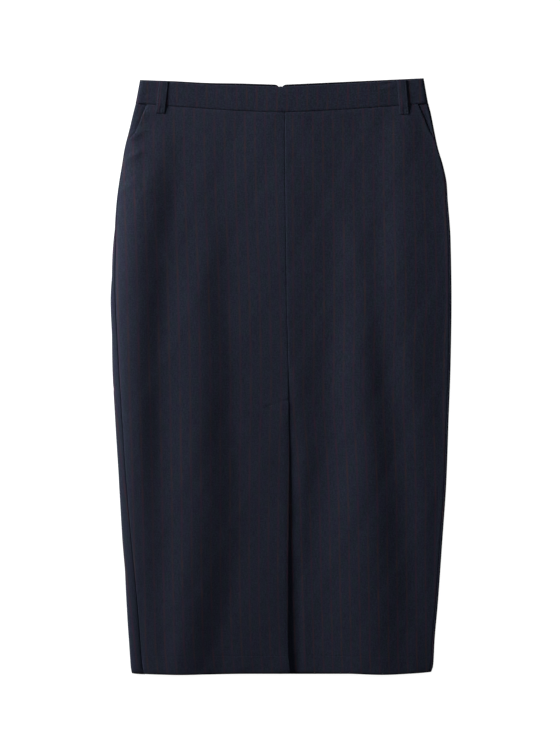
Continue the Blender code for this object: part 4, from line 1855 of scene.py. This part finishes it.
@dataclass
class Backs:
    """The two back panels, flat on the floor and turned round the sides."""

    wool: bpy.types.Material
    row_step: float = 4.0
    columns: int = 78
    stripe: float = 8.9
    # painted shade: how far up the strip below the front's hem, and how far in from the right
    # turn, the colour is darkened for their shadow
    painted_hem_shade: float = 4.4
    painted_turn_shade: float = 1.0
    middle_seam: Pair = (0.4, 1.8)
    side_reaches: Pair = (1.5, 6.0)
    crease_free: float = 9.0
    crease_fade: float = 30.0
    turned_share: float = 0.6
    left_cut: FlatCut = FlatCut(240.0, 744.0, 0.93)
    right_cut: FlatCut = FlatCut(236.0, 744.0, 0.93)
    creases: tuple[Crease, ...] = (
        Crease(((-92.0, -395.0), (-80.0, -250.0), (-88.0, -90.0), (-96.0, 60.0)), 17.0, 1.3),
        Crease(((86.0, -395.0), (78.0, -270.0), (90.0, -110.0), (84.0, 30.0)), 15.0, 1.2),
        Crease(((-150.0, 130.0), (-120.0, 210.0), (-96.0, 262.0)), 10.0, 0.7),
        Crease(((150.0, 150.0), (126.0, 220.0), (100.0, 268.0)), 9.0, 0.6),
        Crease(((-40.0, 90.0), (-14.0, 74.0), (26.0, 80.0)), 7.0, 0.45),
    )
    lap_crease: Crease = Crease(((-222.0, -17.0), (-213.0, -15.0), (-205.0, -16.0)), 2.0, -0.6)

    def panel(self, side: Side) -> Patch:
        """Lay one back on its form, creased inwards where it lies flat on the floor.

        Args:
            side: Which back.

        Returns:
            The grid, with its seams, creases and turned hem.
        """
        rows = levels(HEM_Y, WAIST_SIDE_Y, step=self.row_step)
        sections = [section_at(level) for level in rows]
        laid = [section.back_walk(side, HALF_SEAM, self.columns) for section in sections]
        walks = Walk.stacked(laid)
        from_middle, from_side = walks.along, walks.to_end
        ends = row_ends(rows, HEM_Y, WAIST_SIDE_Y)
        patch = body_patch(rows, walks, (back_hem_y, back_waist_y), ends)
        above_hem = (rows - HEM_Y)[:, None]

        flat = patch.z < BACK_MID + FLAT_MARGIN
        share = ease((from_side - self.crease_free) / self.crease_fade)
        creases = creased(self.creases, patch.x, patch.y) * share
        lift = side_seam(side, rows, from_side, self.side_reaches)
        lift = lift - groove(from_middle, *self.middle_seam)
        on_floor = -lift - creases
        on_front = lift + self.lap_crease.lift(patch.x, patch.y)
        patch.lift = np.where(flat, on_floor, on_front)
        patch.turned += self.turned_share * before(above_hem, TURN_UP, TURNED_BLEND)

        # painted shadow on the strip below the front's hem, and painted shade on the right side's
        # turn, which faces away from the key light
        painted_shade = nearness(above_hem, self.painted_hem_shade)
        if side > 0:
            turns = np.array([[section.edges[side]] for section in sections])
            painted_shade = np.maximum(painted_shade, nearness(turns - patch.x, self.painted_turn_shade))
        patch.mark(from_middle - self.stripe, patch.y - HEM_Y, painted_shade)
        return patch

    def make(self, side: Side) -> bpy.types.Object:
        """Make one back panel.

        Args:
            side: Which back.

        Returns:
            The piece.
        """
        patch = self.panel(side)
        cloth = CutCloth(CLOTH, patch if side < 0 else patch.mirrored())
        cut = self.left_cut if side < 0 else self.right_cut
        names = (f"cloth_back_{side.word}", f"back_panel_{side.word}")
        return cut.lay(cloth, self.wool, names, ["floor"])


@dataclass
class Waistband:
    """The straight waistband: one front piece and two back pieces that end at the zip."""

    wool: bpy.types.Material
    row_step: float = 1.7
    front_columns: int = 150
    back_columns: int = 70
    stripe: float = 7.4
    stretch: float = 1.005
    stretch_change: float = 0.00007
    grain_start: float = 1000.0
    seam_groove: Pair = (0.4, 1.1)
    band_puff: Triple = (0.35, 14.0, 400.0)
    drift: Drift = Drift(0.07, 2.2)
    curl: float = 1.3
    curl_reach: float = 4.5
    # painted shade: how dark, and how far down from its top, the back band is painted for its
    # shade
    painted_top_shade: float = 0.5
    painted_top_shade_reach: float = 3.0
    front_cut: FlatCut = FlatCut(378.0, 34.0, 0.93)
    back_cut: FlatCut = FlatCut(192.0, 34.0, 0.93)
    creases: tuple[Crease, ...] = (
        Crease(((-184.0, 362.0), (-176.0, 367.0), (-166.0, 369.0)), 2.5, -0.25),
        Crease(((120.0, 378.0), (138.0, 381.0), (154.0, 384.0)), 2.0, -0.3),
        Crease(((126.0, 372.0), (142.0, 376.0), (153.0, 381.0)), 2.0, 0.25),
    )

    def rows(self) -> np.ndarray:
        """Return how far up its height the band's rows lie."""
        height = TOP_SIDE_Y - WAIST_SIDE_Y
        return bordered(height, round(height / self.row_step))

    def sections(self) -> list[Section]:
        """Return the sections whose side turns the band's rows follow."""
        return [section_at(WAIST_SIDE_Y + rise) for rise in self.rows()]

    def stack(self, walks: Sequence[Walk], low: HeightLine, high: HeightLine) -> Patch:
        """Stack walks between the band's two edges.

        Args:
            walks: The rows, from the waist seam up.
            low: The waist seam's height at x.
            high: The upper edge's height at x.

        Returns:
            The grid, raised for the band's thicker wall.
        """
        rows = self.rows()
        ends = np.minimum(SEWN_ROUNDING * rows, rows[-1] - rows)
        up = (rows / rows[-1])[:, None]

        def heights(x: np.ndarray) -> np.ndarray:
            """Return the rows' heights at x, evenly spread between the band's edges."""
            return low(x) + HALF_SEAM + up * (high(x) - low(x) - HALF_SEAM)

        patch = grid_patch(Walk.stacked(walks), heights, ends)
        stretch = self.stretch - self.stretch_change * patch.x
        patch.mark((patch.x - self.stripe) * stretch, patch.y + self.grain_start)
        patch.points[..., 2] += BAND_LIFT
        return patch

    def make_front(self) -> bpy.types.Object:
        """Make the one-piece front waistband between the side seams.

        Returns:
            The piece.
        """
        walks = []
        for section in self.sections():
            halves = []
            for side in Side:
                start = section.length_to_seam(side) + HALF_SEAM
                end = section.length_to(side, abs(section.edges[side]))
                halves.append(section.walk(side, (start, end), self.front_columns // 2))
            walks.append(halves[0].joined(halves[1]))
        patch = self.stack(walks, waist_y, front_top_y)
        above = patch.y - waist_y(patch.x)
        patch.lift += puff(above, *self.band_puff) + groove(above, *self.seam_groove)
        patch.lift += creased(self.creases, patch.x, patch.y)
        patch.lift += self.drift.lift(patch.x, patch.y)
        names = ("cloth_band_front", "waistband_front")
        rests_on = ["cloth_band_back_left", "cloth_band_back_right"]
        return self.front_cut.lay(CutCloth(BAND_CLOTH, patch), self.wool, names, rests_on)

    def make_back(self, side: Side) -> bpy.types.Object:
        """Make one back waistband, from its rounded end at the zip to the side seam.

        Args:
            side: Which half.

        Returns:
            The piece.
        """
        columns = self.back_columns
        walks = [section.back_walk(side, BAND_END_GAP, columns) for section in self.sections()]
        patch = self.stack(walks, back_waist_y, rounded_top_y)
        below_top = back_top_y(patch.x) - patch.y
        on_back = patch.z < BACK_MID + BAND_LIFT + FLAT_MARGIN
        patch.points[..., 2] += on_back * self.curl * nearness(below_top, self.curl_reach)
        # the back band's top, seen above the front band, is painted dark for its shade
        patch.cut[..., 2] = self.painted_top_shade * nearness(below_top, self.painted_top_shade_reach)
        cloth = CutCloth(BAND_CLOTH, patch if side < 0 else patch.mirrored())
        names = (f"cloth_band_back_{side.word}", f"waistband_back_{side.word}")
        return self.back_cut.lay(cloth, self.wool, names, ["floor"])


@dataclass
class SlantPockets:
    """The facings that show inside the two slanted pockets."""

    wool: bpy.types.Material
    bottom_y: float = 242.0
    under_front: float = 16.0
    clearance: float = 0.05
    sewn_reach: float = 4.5
    sewn_rise: float = 0.85
    columns: int = 10
    row_step: float = 2.8
    cut: FlatCut = FlatCut(30.0, 114.0, 0.58)

    def drop(self, along: np.ndarray, covered: np.ndarray, thinning: np.ndarray) -> np.ndarray:
        """Work out how far below the front's form a facing lies.

        Args:
            along: Its points' lengths from its outer edge, in its rows.
            covered: How far in they lie from the front's edge, less than 0 in the open.
            thinning: How much thinner the front's edge is pressed in each row.

        Returns:
            The drops: close under the front's rounded edge, and less at the side seam.
        """
        under = rounded_edge(np.maximum(covered, 0.0) * (1 - thinning), CLOTH / 2)
        drop = CLOTH / 2 + self.clearance + under
        sewn = nearness(along, self.sewn_reach)
        return np.where(covered < 0, drop * (1 - self.sewn_rise * sewn), drop)

    def make(self, side: Side) -> bpy.types.Object:
        """Make one facing, just below its front's edge.

        Args:
            side: Which pocket.

        Returns:
            The piece.
        """
        rows = levels(self.bottom_y, WAIST_SIDE_Y, step=self.row_step)
        laid, mouths = [], []
        for level in rows:
            section = section_at(level)
            mouth = POCKETS[side].at(level).inset
            outer = section.length_to(side, FACING_EDGE.at(level).inset)
            inner = section.length_to(side, mouth + self.under_front)
            laid.append(section.walk(side, (outer, inner), self.columns))
            mouths.append([section.length_to(side, mouth) - outer])
        walks = Walk.stacked(laid)
        ends = row_ends(rows, self.bottom_y, WAIST_SIDE_Y)
        patch = body_patch(rows, walks, (hem_y, waist_y), ends)
        patch.mark(patch.x, patch.y - HEM_Y)
        across, rise = np.gradient(patch.x, axis=1), np.gradient(patch.z, axis=1)
        slope = np.arctan2(rise, np.abs(across))
        thinning = pocket_thinning(side, rows)[:, None]
        drop = self.drop(walks.along, walks.along - np.array(mouths), thinning)
        patch.points[..., 0] -= side * drop * np.sin(slope)
        patch.points[..., 2] = np.maximum(SECOND_MID, patch.z - drop * np.cos(slope))
        cloth = CutCloth(CLOTH, patch if side < 0 else patch.mirrored())
        names = (f"cloth_pocket_{side.word}", f"pocket_facing_{side.word}")
        return self.cut.lay(cloth, self.wool, names, [f"cloth_back_{side.word}"])


class Stitches:
    """Small rounded stitches, joined in one mesh."""

    SIDES = 6
    # Each ring's share of the stitch's length and its size
    RINGS = ((0.0, 0.25), (0.08, 0.7), (0.3, 1.0), (0.7, 1.0), (0.92, 0.7), (1.0, 0.25))
    PITCH = 1.3
    DIP = 1.4

    def __init__(self, thickness: float) -> None:
        """Start with no stitches.

        Args:
            thickness: How thick the thread is.
        """
        self.radius = thickness / 2
        self.points: list[np.ndarray] = []
        self.faces: list[tuple[int, ...]] = []

    def run(self, path: np.ndarray, length: float) -> None:
        """Sew along a path.

        Args:
            path: Points on the cloth, in order.
            length: How long each stitch is; they share the path with small gaps between.
        """
        steps = np.linalg.norm(np.diff(path, axis=0), axis=1)
        done = np.concatenate(([0.0], np.cumsum(steps)))
        for start in np.arange(0.0, done[-1] - length, length * self.PITCH):
            ends = ([np.interp(at, done, row) for row in path.T] for at in (start, start + length))
            self.stitch(*(np.array(end) for end in ends))

    def stitch(self, start: np.ndarray, end: np.ndarray) -> None:
        """Add one stitch that dips into the cloth at both ends.

        Args:
            start: Where it comes out of the cloth.
            end: Where it goes back in.
        """
        along = end - start
        across = np.cross(along, (0.0, 0.0, 1.0))
        across /= np.linalg.norm(across)
        up = np.cross(across, along / np.linalg.norm(along))
        first = len(self.points)
        angles = 2 * math.pi * np.arange(self.SIDES)[:, None] / self.SIDES
        ring = (across * np.cos(angles) + up * np.sin(angles)) * self.radius
        for share, size in self.RINGS:
            centre = start + along * share - up * self.radius * (1 - size) * self.DIP
            self.points.extend(centre + ring * size)
        self.faces.extend(ring_faces(len(self.RINGS), self.SIDES, first))

    def make(self, name: str) -> bpy.types.Object:
        """Make the joined mesh.

        Args:
            name: The piece's name.

        Returns:
            The piece, not dressed yet.
        """
        piece = add_mesh(name, np.array(self.points), self.faces)
        piece.data.shade_smooth()
        return piece


@dataclass(frozen=True)
class LoopPlace:
    """Where a belt loop is sewn: the middle of its upper end and of its lower end."""

    side: Side
    top_x: float
    bottom_x: float
    bottom_y: float


@dataclass
class BeltLoops:
    """The two belt loops at the front, each sewn down at its ends."""

    wool: bpy.types.Material
    thread: bpy.types.Material
    above_top: float = 0.9
    low_rest: float = 0.7
    high_rest: float = 1.2
    rise_share: float = 0.3
    fold_depth: float = 0.3
    fold_half_width: float = 1.6
    fold_start: float = 0.06
    fold_fade: float = 0.2
    columns: int = 12
    rows: int = 26
    stripe: float = 3.0
    grain_start: float = 1000.0
    thread_size: float = 0.32
    stitch_length: float = 2.2
    stitch_inset: float = 2.0
    stitch_groove: Pair = (0.14, 0.7)
    stitch_end: float = 1.0
    stitch_sink: float = 0.08
    path_points: int = 15
    places: tuple[LoopPlace, ...] = (
        LoopPlace(Side.LEFT, -152.6, -157.4, 342.4),
        LoopPlace(Side.RIGHT, 156.6, 160.2, 340.9),
    )
    cut: FlatCut = FlatCut(11.7, 50.0)

    def length(self, place: LoopPlace) -> float:
        """Return how long a loop is, from its lower end to just above the front's top."""
        return float(front_top_y(np.array(place.top_x))) + self.above_top - place.bottom_y

    def surface(self, place: LoopPlace, across: np.ndarray, up: np.ndarray) -> np.ndarray:
        """Lay out points on a loop's middle surface.

        Args:
            place: Where the loop is sewn.
            across: How far across it they lie, from 0 to 1.
            up: How far up it they lie, from 0 to 1.

        Returns:
            The points.
        """
        middle = place.bottom_x + (place.top_x - place.bottom_x) * up
        x = middle + (across - 0.5) * self.cut.width
        y = place.bottom_y + self.length(place) * up
        rest = self.low_rest + (self.high_rest - self.low_rest) * ease(up / self.rise_share)
        z = section_at(place.bottom_y).front_z(x) + rest
        return np.stack((x, y, z), axis=-1)

    def make_stitches(self, place: LoopPlace) -> bpy.types.Object:
        """Make the stitches along a loop's two edges.

        Args:
            place: Where the loop is sewn.

        Returns:
            The stitches.
        """
        width, length = self.cut.width, self.length(place)
        stitches = Stitches(self.thread_size)
        up = np.linspace(self.stitch_end, length - self.stitch_end, self.path_points) / length
        for edge in (self.stitch_inset, width - self.stitch_inset):
            path = self.surface(place, np.full_like(up, edge / width), up)
            path[:, 2] += CLOTH / 2 - self.stitch_sink
            stitches.run(path, self.stitch_length)
        sewn = stitches.make(f"stitches_loop_{place.side.word}")
        return dress(sewn, self.thread, Slot.WOOL)

    def make(self, place: LoopPlace) -> list[bpy.types.Object]:
        """Make one loop and its stitches.

        Args:
            place: Where the loop is sewn.

        Returns:
            The loop and its stitches.
        """
        width, length = self.cut.width, self.length(place)
        inset, rise = np.meshgrid(bordered(width, self.columns), bordered(length, self.rows))
        across, up = inset / width, rise / length
        at_side, at_end = np.minimum(inset, width - inset), np.minimum(rise, length - rise)
        patch = Patch.plain(self.surface(place, across, up), np.minimum(at_side, at_end))
        patch.mark(inset - self.stripe, rise + self.grain_start)
        tight = self.fold_depth * nearness(up - self.fold_start, self.fold_fade)
        patch.lift += groove(inset - width / 2, tight, self.fold_half_width)
        patch.lift += groove(at_side - self.stitch_inset, *self.stitch_groove)
        loop = CutCloth(CLOTH, patch).make(f"cloth_loop_{place.side.word}")
        dress(loop, self.wool, Slot.WOOL, f"belt_loop_{place.side.word}")
        sewn = self.make_stitches(place)
        self.cut.declare(loop, ["cloth_band_front"], [sewn])
        return [loop, sewn]


@dataclass
class VentStitching:
    """The slanted stitch line at the vent's top, and a basting stitch beside its edge."""

    thread: bpy.types.Material
    thread_size: float = 0.34
    stitch_length: float = 2.1
    stitch_sink: float = 0.02
    path_points: int = 14
    line: tuple[Pair, ...] = ((6.5, -31.1), (-8.0, -36.4), (-22.6, -42.0))
    basting: tuple[Triple, ...] = ((9.4, -167.0, 6.0), (14.6, -167.4, 4.6))

    def make(self) -> bpy.types.Object:
        """Make the stitches on the left front.

        Returns:
            The stitches.
        """
        stitches = Stitches(self.thread_size)
        share = np.linspace(0, len(self.line) - 1, self.path_points)
        x, y = (np.interp(share, range(len(self.line)), values) for values in zip(*self.line))
        form = [float(section_at(b).front_z(np.array(a))) for a, b in zip(x, y)]
        z = form + creased(FRONT_CREASES, x, y) + CLOTH / 2 - self.stitch_sink
        stitches.run(np.stack((x, y, z), axis=-1), self.stitch_length)
        stitches.stitch(*np.array(self.basting))
        return dress(stitches.make("stitches_vent"), self.thread, Slot.WOOL)


@dataclass
class CentreBackZip:
    """The closed zip inside the centre back: two tapes, their coils and the slider."""

    tape: bpy.types.Material
    enamel: bpy.types.Material
    width: float = 22.0
    top_y: float = 366.0
    bottom_y: float = 150.0
    low_z: float = 1.8
    thickness: float = 0.8
    half_gap: float = 0.2
    columns: int = 6
    rows: int = 60
    coil_bed_x: float = 2.6
    coil_bed: Pair = (-0.08, 0.6)
    coil_thickness: float = 0.7
    coil_pitch: float = 1.4
    coil_start: float = 3.0
    coil_end: float = 1.0
    coil_sink: float = 0.05
    coil_hook: float = 0.5
    coil_reach: float = 1.9
    coil_slant: float = 0.25
    # The slider's outline, from its narrow end: where along it, and how wide
    slider_outline: tuple[Pair, ...] = (
        (-0.5, 0.62),
        (-0.42, 0.80),
        (-0.1, 0.86),
        (0.2, 1.0),
        (0.42, 0.94),
        (0.5, 0.7),
    )
    # Its layers up to the middle, the same above: how high they lie, and how wide
    slider_layers: tuple[Pair, ...] = ((-0.5, 0.86), (-0.38, 1.0), (-0.16, 1.0), (-0.1, 0.7))
    slider_taper: float = 0.06
    slider_rounding: float = 0.15

    def make_tapes(self) -> bpy.types.Object:
        """Make the two woven tapes with the raised beds of the coils.

        Returns:
            The tapes, as one piece.
        """
        cloth = CutCloth(self.thickness)
        width, length = self.width / 2 - self.half_gap, self.top_y - self.bottom_y
        across, up = np.meshgrid(bordered(width, self.columns), bordered(length, self.rows))
        at_side, at_end = np.minimum(across, width - across), np.minimum(up, length - up)
        for side in Side:
            x = BACK_MIDDLE_X + side * (self.half_gap + across)
            y = self.bottom_y + up
            z = np.full_like(x, self.low_z + self.thickness / 2)
            patch = Patch.plain(np.stack((x, y, z), axis=-1), np.minimum(at_side, at_end))
            patch.mark(x, y)
            patch.lift += groove(across - self.coil_bed_x, *self.coil_bed)
            cloth.add(patch if side > 0 else patch.mirrored())
        return dress(cloth.make("zip_tapes"), self.tape, Slot.ZIP_TAPE, "back_zip")

    def make_coils(self) -> bpy.types.Object:
        """Make the two rows of interlocked coil loops along the middle.

        Returns:
            The coils, as one piece.
        """
        coils = Stitches(self.coil_thickness)
        z = self.low_z + self.thickness - self.coil_sink
        start_y, end_y = self.bottom_y + self.coil_start, self.top_y - self.coil_end
        for row, y in enumerate(np.arange(start_y, end_y, self.coil_pitch / 2)):
            side = -1 if row % 2 else 1
            hook = np.array((BACK_MIDDLE_X - side * self.coil_hook, y, z))
            reach = np.array((BACK_MIDDLE_X + side * self.coil_reach, y + self.coil_slant, z))
            coils.stitch(hook, reach)
        return dress(coils.make("zip_coils"), self.tape, Slot.ZIP_TAPE)

    def make_slider(self) -> bpy.types.Object:
        """Make the slider: two rounded plates with a bridge between them.

        Returns:
            The slider.
        """
        low, high = (np.array(corner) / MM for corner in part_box("zip_slider"))
        centre, size = (low + high) / 2, high - low
        ring = [(wide / 2, along) for along, wide in self.slider_outline]
        ring += [(-across, along) for across, along in ring[::-1]]
        layers = list(self.slider_layers)
        layers += [(-height, wide) for height, wide in layers[::-1]]
        points = []
        for height, wide in layers:
            tapered = 1 - self.slider_taper * (1 - wide)
            points += [(across * wide, along * tapered, height) for across, along in ring]
        faces = ring_faces(len(layers), len(ring))
        piece = add_mesh("slider_body", centre + size * np.array(points), faces)
        rounding = piece.modifiers.new("rounding", "BEVEL")
        rounding.width = self.slider_rounding * MM
        rounding.segments = 2
        return dress(piece, self.enamel, Slot.ZIP_METAL, "zip_slider")


@dataclass
class Studio:
    """A white floor, soft light from the left, and the camera straight above, in metres."""

    floor_half: float = 12.0
    floor_depth: float = 0.00005
    camera_place: Triple = (-0.00165, 0.0044, 2.700)
    lens: float = 100.0
    key_place: Triple = (-1.78, 1.50, 0.534)
    key_size: float = 0.62
    key_power: float = 225.0
    fill_place: Triple = (1.2, 0.4, 3.0)
    fill_size: float = 2.6
    fill_power: float = 24.6
    room_colour: Colour = (1.0, 1.0, 1.0)
    room: float = 0.04

    def make(self) -> None:
        """Build the whole studio."""
        self.make_floor()
        self.make_light("key", self.key_place, self.key_size, self.key_power)
        self.make_light("fill", self.fill_place, self.fill_size, self.fill_power)
        world = bpy.data.worlds.new("room")
        world.use_nodes = True
        background = world.node_tree.nodes["Background"]
        background.inputs["Color"].default_value = (*self.room_colour, 1.0)
        background.inputs["Strength"].default_value = self.room
        scene = bpy.context.scene
        scene.world = world
        scene.camera = add_object("camera", bpy.data.cameras.new("camera"))
        scene.camera.data.lens = self.lens
        scene.camera.location = self.camera_place
        scene.view_settings.view_transform = "Standard"

    def make_floor(self) -> None:
        """Make the floor just under the skirt."""
        corners = np.array([(-1, -1, 0), (1, -1, 0), (1, 1, 0), (-1, 1, 0)])
        points = corners * self.floor_half - (0.0, 0.0, self.floor_depth)
        floor = add_mesh("floor", points / MM, [(0, 1, 2, 3)])
        floor.data.materials.append(FloorFinish().make())

    def make_light(self, name: str, place: Triple, size: float, power: float) -> None:
        """Hang a square soft light that faces the skirt.

        Args:
            name: The light's name.
            place: Where it hangs.
            size: How wide it is.
            power: Its power in watts.
        """
        lamp = bpy.data.lights.new(name, "AREA")
        lamp.size = size
        lamp.energy = power
        light = add_object(name, lamp)
        light.location = place
        light.rotation_euler = (-Vector(place)).to_track_quat("-Z", "Y").to_euler()


def main() -> None:
    """Build the skirt on its frame, and the studio round it."""
    logging.basicConfig(level=logging.INFO, format="%(name)s: %(message)s")
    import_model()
    finishes = (WoolFinish(), ThreadFinish(), TapeFinish(), EnamelFinish())
    wool, thread, tape, enamel = (finish.make() for finish in finishes)
    Studio().make()
    backs, band, pockets = Backs(wool), Waistband(wool), SlantPockets(wool)
    pieces = []
    for side in Side:
        pieces += [backs.make(side), band.make_back(side), pockets.make(side)]
    fronts = Fronts(wool)
    pieces += [fronts.make_right(), fronts.make_left(), band.make_front()]
    loops = BeltLoops(wool, thread)
    for place in loops.places:
        pieces += loops.make(place)
    pieces.append(VentStitching(thread).make())
    closure = CentreBackZip(tape, enamel)
    pieces += [closure.make_tapes(), closure.make_coils(), closure.make_slider()]
    for piece in pieces:
        LOG.info("%s: %d faces", piece.name, len(piece.data.polygons))


if __name__ == "__main__":
    main()
